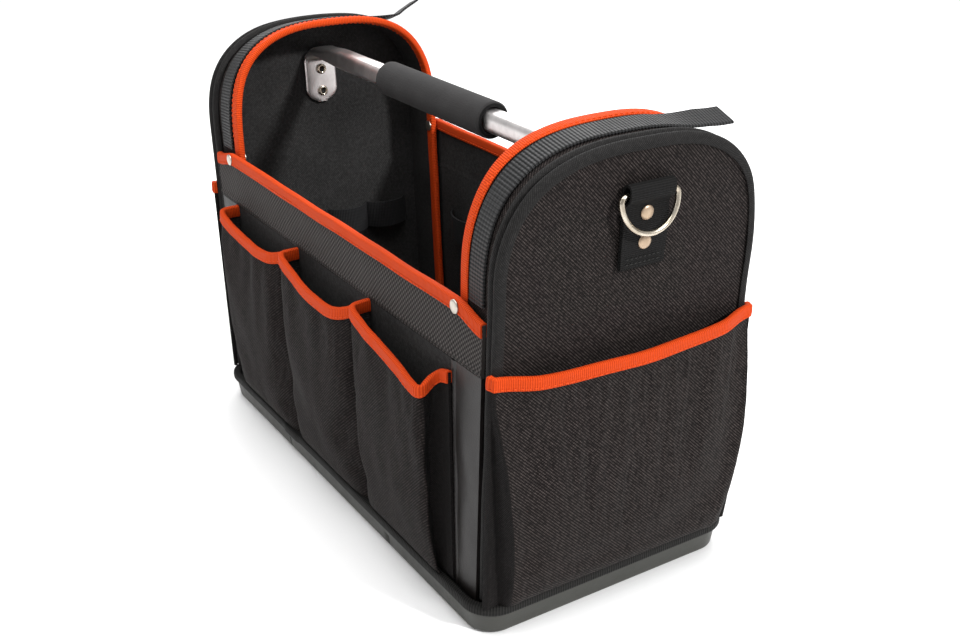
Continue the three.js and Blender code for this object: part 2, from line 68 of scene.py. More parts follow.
END_POCKET = Sizes(half=98.2, cloth=1.8, mouth=186, sag=5, side=-1.5, foot_depth=8.5, mouth_depth=9.5,
                   belly=4, bulge=5.4, pleat=13)
HANDLE = Sizes(y=4, z=284, size=15, power=3.2, flat=38, spread=7, bend=9.5, foot=241)
PLATE = Sizes(width=28, thick=3.6, corner=11)
GRIP = Sizes(start=-86, end=57, radius=12.8, bore=9, edge=1.8, mouth=14)
HANDLE_RIVET = Sizes(shank=2.4, head=4.6, dome=1.6, roll=3.0, roll_width=1.1)
RIVET_HEIGHTS = {"upper": 267.5, "lower": 249.5}
TAB = Sizes(half=16.5, foot=234, web=1.4, loop=4.3, rise=3, lip=1.2, taper=6.5, seams=(3.0, 6.2))
RING = Sizes(z=280, wire=1.8, half=20.4, corner=3.4, tilt=radians(8))
LOOP = Sizes(cloth=1.6, depth=10, foot=124, top=147)

# Settings of the cloth simulation, its frames, the most that it moves the cloth, and how far out from
# the wall the cloth starts to move and moves in full
SETTLE = dict(quality=6, bending_stiffness=40, shrink_min=-0.012, shrink_max=-0.012, use_pressure=True,
              uniform_pressure_force=0.5)
SETTLE_GRAVITY, SETTLE_FRAMES, SETTLE_CAP, SETTLE_FROM, SETTLE_FULL = 0.5, 26, 4.0, 3, 8

ENDS = {"near": 1, "far": -1}
SIDES = {"front": 1, "back": -1}


# Helpers for shapes
def ease(low, high, value):
    """0 below low, 1 above high, and smooth between them."""
    t = np.clip((np.asarray(value, float) - low) / (high - low), 0, 1)
    return t * t * (3 - 2 * t)


def waves(points, size, seed, count=8):
    """Smooth bumps of about one size, mostly between -1 and 1, at points in millimetres."""
    rng = np.random.default_rng(seed)
    total = np.zeros(points.shape[:-1])
    for _ in range(count):
        way = rng.normal(size=3)
        way *= 2 * pi / (size * np.linalg.norm(way)) * rng.uniform(0.6, 1.4)
        total += np.sin(points @ way + rng.uniform(0, 2 * pi))
    return total / sqrt(count)


def seed_of(name):
    """A fixed number for a piece, so that no two pieces have the same creases."""
    return sum(i * ord(c) for i, c in enumerate(name, 1))


def xyz(x, y, z):
    """Points with these coordinates."""
    return np.stack(np.broadcast_arrays(x, y, z), -1)


def unit(ways):
    """The same directions, each with a length of 1."""
    return ways / np.linalg.norm(ways, axis=-1, keepdims=True)


def full_turn(count):
    """Even angles round a circle."""
    return np.linspace(0, 2 * pi, count, endpoint=False)


def arc(a, b, radius, start, end, count):
    """Points on a circle round (a, b), from one angle to another."""
    return [(a + radius * cos(t), b + radius * sin(t)) for t in np.linspace(start, end, count)]


def smooth(points, times, closed=False):
    """A Catmull-Rom curve through points."""
    points = np.asarray(points, float)
    before, after = (points[-1:], points[:2]) if closed else (points[:1], points[-1:])
    knots = np.concatenate([before, points, after])
    made = []
    for p0, p1, p2, p3 in zip(knots, knots[1:], knots[2:], knots[3:]):
        for t in np.linspace(0, 1, times, endpoint=False):
            made.append(0.5 * (2 * p1 + (p2 - p0) * t + (2 * p0 - 5 * p1 + 4 * p2 - p3) * t * t
                               + (3 * p1 - p0 - 3 * p2 + p3) * t ** 3))
    return np.array(made if closed else made + [points[-1]])


def put(name, data):
    """A new object in the scene."""
    made = bpy.data.objects.new(name, data)
    bpy.context.scene.collection.objects.link(made)
    return made


def run(points, axis):
    """Distance run along an axis of a grid of points, averaged over the other axis."""
    step = np.linalg.norm(np.diff(points, axis=axis), axis=-1).mean(axis=1 - axis)
    return np.concatenate([[0], np.cumsum(step)])


def build(name, verts, faces, uvs, looks, face_look=None, angle=40):
    """A smooth mesh object with a cloth UV in metres; verts and uvs are in millimetres."""
    mesh = bpy.data.meshes.new(name)
    mesh.from_pydata((np.asarray(verts) * MM).tolist(), [], faces)
    layer = mesh.uv_layers.new(name="cloth")
    layer.data.foreach_set("uv", (np.asarray(uvs) * MM).ravel())
    for look in looks:
        mesh.materials.append(look)
    if face_look is not None:
        mesh.polygons.foreach_set("material_index", face_look)
    work = bmesh.new()
    work.from_mesh(mesh)
    bmesh.ops.remove_doubles(work, verts=work.verts, dist=1e-6)
    bmesh.ops.dissolve_degenerate(work, edges=work.edges, dist=1e-7)
    bmesh.ops.recalc_face_normals(work, faces=work.faces)
    work.to_mesh(mesh)
    work.free()
    mesh.polygons.foreach_set("use_smooth", [True] * len(mesh.polygons))
    mesh.set_sharp_from_angle(angle=radians(angle))
    return put(name, mesh)


def loft_data(rings, ring_loop=True, path_loop=False):
    """Vertices, faces and UVs of a body through rings of points."""
    rings = np.asarray(rings, float)
    count, size = rings.shape[:2]
    around = np.concatenate([rings, rings[:, :1]], axis=1) if ring_loop else rings
    along = np.concatenate([rings, rings[:1]], axis=0) if path_loop else rings
    u, v = run(along, 0), run(around, 1)
    faces, uvs = [], []
    for i in range(count if path_loop else count - 1):
        for j in range(size if ring_loop else size - 1):
            a, b = i * size, ((i + 1) % count) * size
            k = (j + 1) % size
            faces.append((a + j, a + k, b + k, b + j))
            uvs += [(u[i], v[j]), (u[i], v[j + 1]), (u[i + 1], v[j + 1]), (u[i + 1], v[j])]
    if ring_loop and not path_loop:
        for first in (0, (count - 1) * size):
            faces.append(tuple(range(first, first + size)))
            uvs += [(u[0], x) for x in v[:size]]
    return rings.reshape(-1, 3), faces, uvs


def loft(name, rings, look, mirror=(1, 1), angle=40, flat=None, lining=None, shaded_bellows=(), **loops):
    """A body through rings of points. flat names the two axes of a cloth that lies in a plane. A lining
    goes on the second half of each ring, and a plainer bellows cloth, darkened as painted shade, on the
    rings named."""
    verts, faces, uvs = loft_data(rings, **loops)
    if flat:
        uvs = [verts[i][list(flat)] for face in faces for i in face]
    size = len(rings[0])
    inside = [int(lining is not None and min(face) % size >= size // 2) for face in faces]
    looks = [look, lining] if lining else [look]
    if shaded_bellows:
        looks.append(BELLOWS_SHADE)
        inside = [part or 2 * (min(face) // size in shaded_bellows) for part, face in zip(inside, faces)]
    return build(name, verts * (*mirror, 1), faces, uvs, looks, inside, angle)


def lathe(name, profile, origin, axis, looks, edges=(), steps=28, mirror=(1, 1)):
    """A turned body on an axis that isn't upright: profile is (radius, height) along the axis, and edges
    are the profile steps after which the next look starts."""
    axis = unit(np.asarray(axis, float))
    side = unit(np.cross(axis, (0, 0, 1.0)))
    up = np.cross(axis, side)
    turn = full_turn(steps)[:, None]
    rim = np.cos(turn) * side + np.sin(turn) * up
    rings = [np.asarray(origin) + radius * rim + height * axis for radius, height in profile]
    verts, faces, uvs = loft_data(rings)
    face_look = [sum(i >= e for e in edges) for i in range(len(profile) - 1) for _ in range(steps)]
    face_look += [0, len(edges)]
    return build(name, verts * (*mirror, 1), faces, uvs, looks, face_look)


def done(piece, slot, *nodes, body="bag"):
    """Puts a finished piece on its body, in place of its CAD nodes."""
    if nodes:
        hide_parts(*nodes)
    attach(piece, body)


def super_point(angle, half_a, half_b, power):
    """A superellipse's place and outward direction at angles."""
    c, s = np.cos(angle), np.sin(angle)
    reach = (np.abs(c) ** power + np.abs(s) ** power) ** (-1 / power)
    na = np.sign(c) * np.abs(reach * c) ** (power - 1) / half_a
    nb = np.sign(s) * np.abs(reach * s) ** (power - 1) / half_b
    size = np.hypot(na, nb)
    return half_a * reach * c, half_b * reach * s, na / size, nb / size


def panel_x(z):
    return PANEL.x + PANEL.lean * (z - PANEL.z)


def arch_path(foot, sides=22, top=72):
    """Steps (side, height, angle) from the front foot over the crest and down to the back foot."""
    heights = np.linspace(foot, ARCH.spring, sides, endpoint=False)
    up = [(-1, z, np.nan) for z in heights]
    over = [(0, 0, angle) for angle in np.linspace(pi, 0, top)]
    down = [(1, z, np.nan) for z in heights[::-1]]
    return np.array(up + over + down)


def arch(path, u, v):
    """Points at u along the length from the panel's face and v out from the gusset, at each step."""
    side, height, angle = (path[:, k, None] for k in range(3))
    u, v = np.broadcast_arrays(u, v)
    inward = -u / ARCH.depth
    half = ARCH.half + (ARCH.inner_half - ARCH.half) * inward
    crest = ARCH.crest + (ARCH.inner_crest - ARCH.crest) * inward
    top = ~np.isnan(angle)
    a, b, na, nb = super_point(np.where(top, angle, pi / 2), half, crest - ARCH.spring, ARCH.power)
    y = np.where(top, a + na * v, side * (half + v))
    z = np.where(top, ARCH.spring + b + nb * v, height + 0 * v)
    return xyz(panel_x(z) + u, y, z)


def tape_section(cloth):
    """A folded tape round a cloth's edge, as (along, out): the cloth fills out 0 to -cloth."""
    mid, thick, width = -cloth / 2, TAPE.thick, TAPE.width
    outer, inner = cloth / 2 + GAP + thick, cloth / 2 + GAP
    turn = np.linspace(pi / 2, -pi / 2, 11)
    straight = np.linspace(-width, -1.2, 5)
    belly = 0.25 * np.sin(pi * (straight + width) / width)
    points = [(-width - 0.25, mid + inner + 0.6 * thick)]
    points += [(a, mid + outer + b) for a, b in zip(straight, belly)]
    points += [(1.4 * cos(t), mid + outer * sin(t)) for t in turn]
    points += [(a, mid - outer - b) for a, b in zip(straight[::-1], belly[::-1])]
    points += [(-width - 0.25, mid - inner - 0.6 * thick), (-width, mid - inner)]
    points += [(0.4 * cos(t), mid + inner * sin(t)) for t in turn[::-2]]
    points += [(-width, mid + inner)]
    return np.array(points)


def rounded_rectangle(half_x, half_y, corner, z, turns=10, sides=40):
    """A level ring with rounded corners and points along its straight sides."""
    bends = []
    for quarter, (sx, sy) in enumerate(((1, 1), (-1, 1), (-1, -1), (1, -1))):
        start, end = quarter * pi / 2, (quarter + 1) * pi / 2
        bends.append(arc(sx * (half_x - corner), sy * (half_y - corner), corner, start, end, turns + 1))
    ring = []
    for bend, after in zip(bends, bends[1:] + bends[:1]):
        ring += bend + list(np.linspace(bend[-1], after[0], sides, endpoint=False)[1:])
    x, y = np.array(ring).T
    return xyz(x, y, z)


def both_faces(outer, inner):
    """Rings round a cloth, out along its outer face and back along its inner face."""
    return np.concatenate([outer, inner[:, ::-1]], axis=1)


def band(low, high, edge, count):
    """The section of a flat band: places across it, and up (0.5) or down (-0.5), with pinched edges."""
    across = np.linspace(low + edge, high - edge, count)
    section = [(a, 0.5) for a in across] + [(high, 0)] + [(a, -0.5) for a in across[::-1]] + [(low, 0)]
    return np.array(section).T


# Stitches, gathered for each thread and made into one mesh at the end
THREAD_COLOURS = {
    "orange": ((0.50, 0.036, 0.004), (0.70, 0.08, 0.01)),
    "black": ((0.006, 0.006, 0.006), (0.02, 0.02, 0.02)),
    "grey": ((0.012, 0.012, 0.012), (0.035, 0.034, 0.033)),
}
THREADS = {thread: [] for thread in THREAD_COLOURS}


def sew(thread, points, outwards, pitch=4.0, length=2.9, width=0.42, mirror=(1, 1)):
    """A row of stitches along points on a surface, with the surface's outward directions."""
    flip = (*mirror, 1)
    points = points * np.array(flip)
    outwards = np.broadcast_to(outwards, points.shape) * flip
    far = run(points[:, None], 0)

    def at(distance, values):
        return np.array([np.interp(distance, far, values[:, k]) for k in range(3)])

    for start in np.arange(pitch / 2, far[-1] - length, pitch):
        first, last = at(start, points), at(start + length, points)
        out = unit(at(start + length / 2, outwards))
        THREADS[thread].append((first, last, out, np.cross(out, unit(last - first)), width))


def sew_arch(thread, path, u, v, lift, **stitch):
    """A row of stitches along an arch, with lift as the way out of the cloth."""
    row, above = (arch(path, [u], [height])[:, 0] for height in (v, v + lift))
    sew(thread, row, above - row, **stitch)


def thread_mesh(name, rows, look):
    """All stitches of one thread, each of them a short roll that dips into the cloth at its ends."""
    verts, faces, uvs = [], [], []
    turn = full_turn(6)[:, None]
    shape = ((0, 0.25, -0.15), (0.25, 0.9, 0.25), (0.5, 1.0, 0.4), (0.75, 0.9, 0.25), (1, 0.25, -0.15))
    for first, last, out, side, width in rows:
        round_off = np.cos(turn) * side + np.sin(turn) * out
        rings = []
        for t, wide, lift in shape:
            middle = first + (last - first) * t + out * width * lift
            rings.append(middle + width * wide * round_off)
        more_verts, more_faces, more_uvs = loft_data(rings)
        faces += [tuple(i + len(verts) for i in face) for face in more_faces]
        verts += more_verts.tolist()
        uvs += more_uvs
    return build(name, verts, faces, uvs, [look], angle=80)


# Materials
def tone(colour, share):
    return [c * share for c in colour]


class Look:
    """A material with short ways to add nodes."""

    def __init__(self, name, **values):
        self.material = bpy.data.materials.new(name)
        self.material.use_nodes = True
        self.nodes = self.material.node_tree.nodes
        self.links = self.material.node_tree.links
        self.shader = self.nodes["Principled BSDF"]
        for socket, value in values.items():
            self.shader.inputs[socket.replace("_", " ")].default_value = value

    def node(self, kind, inputs=None, **settings):
        made = self.nodes.new(kind)
        for key, value in settings.items():
            setattr(made, key, value)
        for key, value in (inputs or {}).items():
            if isinstance(value, bpy.types.NodeSocket):
                self.links.new(value, made.inputs[key])
            else:
                made.inputs[key].default_value = value
        return made

    def math(self, operation, a, b=0.0, c=0.0):
        return self.node("ShaderNodeMath", {0: a, 1: b, 2: c}, operation=operation).outputs[0]

    def sine(self, value, pitch):
        """A sine of a length in metres, from -1 to 1."""
        return self.math("SINE", self.math("MULTIPLY", value, 2 * pi / pitch))

    def wave(self, value, pitch):
        """A sine of a length in metres, from 0 to 1."""
        return self.math("MULTIPLY_ADD", self.sine(value, pitch), 0.5, 0.5)

    def cloth_uv(self):
        uv = self.node("ShaderNodeUVMap", uv_map="cloth")
        parts = self.node("ShaderNodeSeparateXYZ", {0: uv.outputs[0]})
        return parts.outputs[0], parts.outputs[1]

    def place(self):
        return self.node("ShaderNodeTexCoord").outputs["Object"]

    def noise(self, scale, detail=4.0, rough=0.55):
        inputs = {"Scale": scale, "Detail": detail, "Roughness": rough, "Vector": self.place()}
        return self.node("ShaderNodeTexNoise", inputs).outputs["Fac"]

    def cells(self, scale, **settings):
        inputs = {"Scale": scale, "Vector": self.place()}
        return self.node("ShaderNodeTexVoronoi", inputs, **settings).outputs["Distance"]

    def ramp(self, value, *stops):
        """Colours from one stop to another, each stop with its place and its colour."""
        made = self.node("ShaderNodeValToRGB", {0: value})
        for spot, (at, colour) in zip(made.color_ramp.elements, stops):
            spot.position = at
            spot.color = (*colour, 1)
        return made.outputs[0]

    def patchy(self, value, colour, low, high, end=0.75):
        """A colour with darker and lighter patches."""
        return self.ramp(value, (0.3, tone(colour, low)), (end, tone(colour, high)))

    def mix(self, share, a, b):
        """Goes from a to b, where share and a are sockets and b is a socket or a colour."""
        b = b if isinstance(b, bpy.types.NodeSocket) else (*b, 1)
        return self.node("ShaderNodeMix", {0: share, 6: a, 7: b}, data_type="RGBA").outputs[2]

    def colour(self, value):
        self.links.new(value, self.shader.inputs["Base Color"])

    def rough(self, value, low, high):
        made = self.node("ShaderNodeMapRange", {0: value, 3: low, 4: high})
        self.links.new(made.outputs[0], self.shader.inputs["Roughness"])

    def bump(self, height, depth, strength):
        """Adds relief, on top of any that is there already."""
        made = self.node("ShaderNodeBump", {"Height": height, "Distance": depth, "Strength": strength})
        socket = self.shader.inputs["Normal"]
        if socket.is_linked:
            self.links.new(socket.links[0].from_socket, made.inputs["Normal"])
        self.links.new(made.outputs[0], socket)


def twill(name, dark, light, slant=1, pitch=0.0022, shine=0.1):
    """Black polyester with diagonal rows of lighter threads, their bright flecks partly the threads' own
    tone and partly painted glints of light.
    """
    look = Look(name, Roughness=0.8, Specular_IOR_Level=shine, Sheen_Weight=0.01, Sheen_Roughness=0.5)
    u, v = look.cloth_uv()
    rows = look.wave(look.math("MULTIPLY_ADD", v, slant, u), pitch)
    beads = look.wave(look.math("MULTIPLY_ADD", v, -slant, u), pitch * 0.8)
    crests = look.math("POWER", rows, 1.5)
    threads = look.math("MULTIPLY", crests, look.math("MULTIPLY_ADD", beads, 0.75, 0.25))
    patches = look.noise(28)
    base = look.patchy(patches, dark, 0.7, 1.3)
    # Thread crests in a lighter, flecked colour: partly the weave's own lighter threads, partly painted
    # glints of light off the polyester
    flecks_and_glints = look.ramp(look.noise(480, 2), (0.35, tone(light, 0.3)), (0.72, tone(light, 1.7)))
    look.colour(look.mix(threads, base, flecks_and_glints))
    look.rough(patches, 0.74 - 0.4 * shine, 0.9 - 0.4 * shine)
    look.bump(threads, 0.0004, 0.7)
    look.bump(look.noise(160, 3), 0.0005, 0.25)
    return look.material


def ribbed(name, dark, light, pitch, rough=0.7, depth=0.0004, cross=0.0028, share=0.15, shine=0.14,
           sheen=0.01):
    """Woven tape with ribs across its length."""
    look = Look(name, Roughness=rough, Specular_IOR_Level=shine, Sheen_Weight=sheen, Sheen_Roughness=0.4)
    u, v = look.cloth_uv()
    ribs = look.math("MULTIPLY", look.wave(u, pitch), 1 - share)
    threads = look.math("MULTIPLY_ADD", look.wave(v, cross), share, ribs)
    patches = look.noise(45)
    base = look.patchy(patches, dark, 0.8, 1)
    look.colour(look.mix(threads, base, light))
    look.rough(patches, rough - 0.1, rough + 0.08)
    look.bump(threads, depth, 0.8)
    look.bump(look.noise(300, 2), 0.0003, 0.2)
    return look.material


def basket(name, dark, light, pitch=0.0036):
    """Coarse cloth of pairs of threads over and under."""
    look = Look(name, Roughness=0.75, Specular_IOR_Level=0.15, Sheen_Weight=0.01, Sheen_Roughness=0.5)
    u, v = look.cloth_uv()
    both = look.math("MULTIPLY", look.sine(u, pitch), look.sine(v, pitch))
    checks = look.math("POWER", look.math("MULTIPLY_ADD", both, 0.5, 0.5), 1.7)
    patches = look.noise(40)
    base = look.patchy(patches, dark, 0.8, 1)
    look.colour(look.mix(checks, base, light))
    look.rough(patches, 0.65, 0.85)
    look.bump(checks, 0.0007, 0.8)
    return look.material


def vinyl(name, colour):
    """Grained vinyl with a low shine."""
    look = Look(name, Roughness=0.42, Specular_IOR_Level=0.3, Coat_Weight=0.04, Coat_Roughness=0.3)
    patches = look.noise(22)
    look.colour(look.patchy(patches, colour, 0.75, 1.2, end=0.7))
    look.rough(patches, 0.34, 0.5)
    look.bump(look.cells(620.0, feature="DISTANCE_TO_EDGE"), 0.0004, 0.35)
    look.bump(look.noise(90, 3), 0.0008, 0.25)
    return look.material


def moulded(name, colour):
    """Matt moulded plastic, scuffed paler along its edges."""
    look = Look(name, Roughness=0.5, Specular_IOR_Level=0.35)
    edge = look.node("ShaderNodeNewGeometry").outputs["Pointiness"]
    worn = look.ramp(edge, (0.5, (0, 0, 0)), (0.62, (1, 1, 1)))
    scuffs = look.ramp(look.noise(75, 8, 0.7), (0.45, (0, 0, 0)), (0.75, (1, 1, 1)))
    patches = look.patchy(look.noise(14), colour, 0.88, 1.1, end=0.7)
    pale = tone(colour, 1.9)
    wear = look.math("MULTIPLY", worn, scuffs)
    look.colour(look.mix(wear, look.mix(look.math("MULTIPLY", scuffs, 0.12), patches, pale), pale))
    look.rough(scuffs, 0.44, 0.62)
    look.bump(look.noise(1400, 2), 0.00012, 0.5)
    look.bump(look.noise(35, 2), 0.0008, 0.15)
    return look.material


def foam_rubber(name, colour):
    """Dull foam with open pores."""
    look = Look(name, Roughness=0.93, Specular_IOR_Level=0.12, Sheen_Weight=0.05, Sheen_Roughness=0.6)
    patches = look.noise(60, 5)
    look.colour(look.patchy(patches, colour, 0.8, 1.2))
    look.rough(patches, 0.86, 0.98)
    look.bump(look.cells(900.0), 0.0004, 0.45)
    look.bump(look.noise(120, 4), 0.0006, 0.3)
    return look.material


def metal(name, colour, rough, spread=0.08, stain=None, grain=0.00005):
    """Metal with patches of a stain, or else of its own colour darkened."""
    look = Look(name, Metallic=1.0, Roughness=rough)
    patches = look.noise(90, 6, 0.6)
    look.colour(look.ramp(patches, (0.35, stain or tone(colour, 0.82)), (0.6, colour)))
    look.rough(patches, max(rough - spread, 0.03), rough + spread)
    look.bump(look.noise(500, 3), grain, 0.25)
    return look.material


CLOTH = twill("black_twill", (0.004, 0.0029, 0.0027), (0.056, 0.0455, 0.0425))
POCKET_CLOTH = twill("pocket_twill", (0.0048, 0.0034, 0.0032), (0.032, 0.0255, 0.0238), slant=-1)
# Bellows cloth: a plainer, finer twill with far dimmer flecks than the black twill, its darkness painted
# shade for the folded strips it covers
BELLOWS_SHADE = twill("bellows_painted_shade", (0.0042, 0.0034, 0.0033), (0.012, 0.0105, 0.0102), pitch=0.0013)
LINING = twill("inside_twill", (0.021, 0.0205, 0.0203), (0.038, 0.0372, 0.037), pitch=0.0016)
COARSE = basket("basket_cloth", (0.0048, 0.0041, 0.0039), (0.09, 0.081, 0.077))
VINYL = vinyl("corner_vinyl", (0.009, 0.0072, 0.0068))
WEBBING = ribbed("black_webbing", (0.002, 0.002, 0.0022), (0.02, 0.02, 0.021), 0.0024, rough=0.5,
                 depth=0.0009, shine=0.22, sheen=0.05)
TAB_WEB = ribbed("tab_webbing", (0.0035, 0.0033, 0.0032), (0.009, 0.0087, 0.0085), 0.0013, depth=0.0003,
                 shine=0.1)
GROSGRAIN = ribbed("hem_grosgrain", (0.005, 0.0048, 0.0046), (0.017, 0.0165, 0.0155), 0.0018)
ELASTIC = ribbed("loop_elastic", (0.005, 0.005, 0.0055), (0.022, 0.022, 0.023), 0.0014)
PIPING = twill("piping_twill", (0.004, 0.0036, 0.0035), (0.02, 0.0185, 0.018), pitch=0.0016, shine=0.2)
ORANGE = ribbed("orange_tape", (0.44, 0.032, 0.003), (0.60, 0.062, 0.006), 0.0014, rough=0.66, share=0.1,
                shine=0.1)
PLASTIC = moulded("tray_plastic", (0.036, 0.0362, 0.0315))
FOAM = foam_rubber("grip_foam", (0.022, 0.021, 0.0212))
# Near-black foam for the grip's bore and the rings round it: painted shade in the gap round the tube
FOAM_GAP_SHADE = foam_rubber("grip_foam_end", (0.003, 0.003, 0.003))
CHROME = metal("bright_steel", (0.82, 0.79, 0.78), 0.36, spread=0.04, grain=0.000006)
NICKEL = metal("warm_nickel", (0.60, 0.54, 0.45), 0.22, stain=(0.40, 0.34, 0.26))
BRASS = metal("pale_brass", (0.54, 0.50, 0.44), 0.34)
SAND_GOLD = metal("sand_gold", (0.52, 0.40, 0.29), 0.42, stain=(0.40, 0.29, 0.2))
# Near-black metal for the floor of a rivet's rolled hollow: painted shade in that recess
HOLLOW_SHADE = metal("rivet_bore_painted_shade", (0.03, 0.028, 0.026), 0.5)


# Base tray and hem
def base_tray():
    """An open tray with a drafted wall, a rounded foot and upright slots in its long sides."""
    top, floor = TRAY.height, TRAY.floor

    def shell(inset, z):
        draft = TRAY.draft * (1 - z / TRAY.height) + inset
        return rounded_rectangle(TRAY.length - draft, TRAY.width - draft, TRAY.corner - draft, z)

    def well(z, inset=0.0):
        half_x, half_y = PANEL.x + TRAY.clearance, WALL.outside + GAP
        return rounded_rectangle(half_x - inset, half_y - inset, TRAY.well_corner, z)

    rings = [shell(TRAY.edge - out, TRAY.edge + up) for out, up in arc(0, 0, TRAY.edge, -pi / 2, 0, 6)]
    rings += [shell(0, z) for z in (6, 10, 13.5, 15.2)]
    rings += [shell(0.25, top - 0.2), shell(0.8, top), well(top, -0.4), well(top - 0.4)]
    rings += [well(floor + 1), well(floor, 1)]
    tray = loft("tray", rings, PLASTIC, angle=35)
    corners = rounded_rectangle(SLOT.width / 2, SLOT.depth, SLOT.corner, 0, turns=4, sides=1)
    for x in SLOT.x:
        for side in (-1, 1):
            foot = corners + (x, side * (TRAY.width - TRAY.draft / 2), SLOT.foot)
            cutter = loft("slot", [foot, foot + (0, 0, SLOT.height)], PLASTIC)
            cut = tray.modifiers.new("slot", "BOOLEAN")
            cut.object, cut.operation, cut.solver = cutter, "DIFFERENCE", "EXACT"
            apply_modifiers(tray)
            bpy.data.objects.remove(cutter)
    done(tray, "tray_plastic", "base_tray")


def apply_modifiers(piece):
    """Replaces a piece's mesh by what its modifiers make of it."""
    made = bpy.data.meshes.new_from_object(piece.evaluated_get(bpy.context.evaluated_depsgraph_get()))
    piece.modifiers.clear()
    piece.data = made


def hem_tape():
    """A ribbed tape round the foot of the cloth, with a round outer edge and one overlap on the front."""
    low, high = HEM.foot, HEM.top
    mid, tall = (low + high) / 2, (high - low) / 2
    rings = []
    for t in full_turn(26):
        up, out = (np.sign(part) * abs(part) ** 0.6 for part in (sin(t), cos(t)))
        deep = HEM.bulge * (1 - out)
        rings.append(rounded_rectangle(HEM.length - deep, HEM.width - deep, HEM.corner - deep / 2,
                                       mid + tall * up, sides=110))
    rings = np.array(rings).transpose(1, 0, 2)
    wobble = waves(rings, 90, 5)[..., None] * (0.15, 0.15, 0.12)
    over = (rings[..., 1] < -90) & (rings[..., 0] > HEM.lap[0]) & (rings[..., 0] < HEM.lap[1])
    wobble[..., 1] -= HEM.lap_rise * over
    done(loft("hem", rings + wobble, GROSGRAIN, path_loop=True), "webbing", "hem_tape")


# Ends
def end_panel(end, sx):
    """A panel that fills the arch, from its middle line out to its edge, and lies flat under the tab."""
    name = f"panel_{end}"
    path = arch_path(WALL.foot)
    edge = arch(path, [-GAP], [-GAP])[:, 0]
    heart = np.where(np.isnan(path[:, 2]), edge[:, 2], ARCH.spring)
    middle = xyz(panel_x(heart) - GAP, 0, heart)
    share = np.linspace(0, 1, 30)[None, :, None] ** 0.85
    outer = middle[:, None] + (edge - middle)[:, None] * share
    inner = outer.copy()
    hush = 1 - share[..., 0] ** 6
    tab = np.hypot(outer[..., 1] - HANDLE.y, np.maximum(0, ARCH.spring - outer[..., 2]))
    free = ease(24, 60, tab) * hush
    dent = free * (0.7 + 0.7 * waves(outer, 70, seed_of(name)) + 0.25 * waves(outer, 26, 3))
    outer[..., 0] -= np.clip(0.6 + dent, 0.1, 2.1)
    inner[..., 0] -= PANEL.thick + hush * np.clip(0.6 + 0.6 * waves(inner, 60, seed_of(name) + 1), 0, 1.6)
    rings = both_faces(outer, inner)
    piece = loft(name, rings, CLOTH, (sx, 1), flat=(1, 2), lining=LINING, ring_loop=False)
    done(piece, "cloth", f"end_panel_{end}")


def gusset(end, sx):
    """The band round the arch, sagging a little between its seams."""
    name = f"gusset_cloth_{end}"
    path = arch_path(WALL.foot)
    u = np.linspace(-ARCH.depth, -PANEL.thick - 2 * GAP, 16)
    outer, inner = arch(path, u, 0 * u), arch(path, u, 0 * u - GUSSET)
    hush = np.sin(np.linspace(0, pi, 16))[None, :, None]
    crease = waves(outer, 60, seed_of(name))[..., None] * 0.5 - 0.4
    move = unit(outer - inner) * crease * hush
    rings = both_faces(outer + move, inner + move)
    done(loft(name, rings, CLOTH, (sx, 1), lining=LINING), "cloth", f"gusset_{end}")


def arch_binding(end, sx):
    """Tape round the gusset's free edge, with stitches where it stands above the rim."""
    name = f"arch_tape_{end}"
    path = arch_path(WALL.foot)
    section = tape_section(GUSSET)
    rings = arch(path, -ARCH.depth - section[:, 0], section[:, 1])
    rings[..., 0] += 0.45 * waves(rings, 55, seed_of(name))
    shown = path[rings[..., 2].max(axis=1) > WALL.top + 2]
    for v in (GAP + TAPE.thick + 0.2, -GUSSET - GAP - TAPE.thick - 0.2):
        sew_arch("orange", shown, TAPE.seam - ARCH.depth, v, copysign(1, v), mirror=(sx, 1))
    done(loft(name, rings, ORANGE, (sx, 1)), "orange_tape", f"arch_binding_{end}")


def edge_piping(end, sx):
    """Two rolls side by side, the second over the corner of panel and gusset."""
    name = f"piping_{end}"
    rolls = smooth([
        (-10.8, 0.4), (-11.2, 2.2), (-9.9, 4.2), (-7.8, 4.5), (-6.3, 3.2), (-5.4, 1.3), (-4.6, 3.2),
        (-3.2, 4.8), (-1.4, 4.9), (0.2, 3.6), (0.8, 1.9), (0.75, 0.3), (0.5, -1.3), (-0.1, -1.3),
        (-0.15, 0.25), (-5.4, 0.32),
    ], 3, closed=True)
    path = arch_path(HEM.top + GAP, sides=30, top=90)
    rings = arch(path, rolls[:, 0], rolls[:, 1])
    rings += 0.3 * waves(rings, 48, seed_of(name))[..., None] * (1, 0.6, 0.6)
    sew_arch("grey", path, -5.4, 1.5, 1, pitch=5, length=3.4, mirror=(sx, 1))
    done(loft(name, rings, PIPING, (sx, 1)), "webbing", f"edge_piping_{end}")


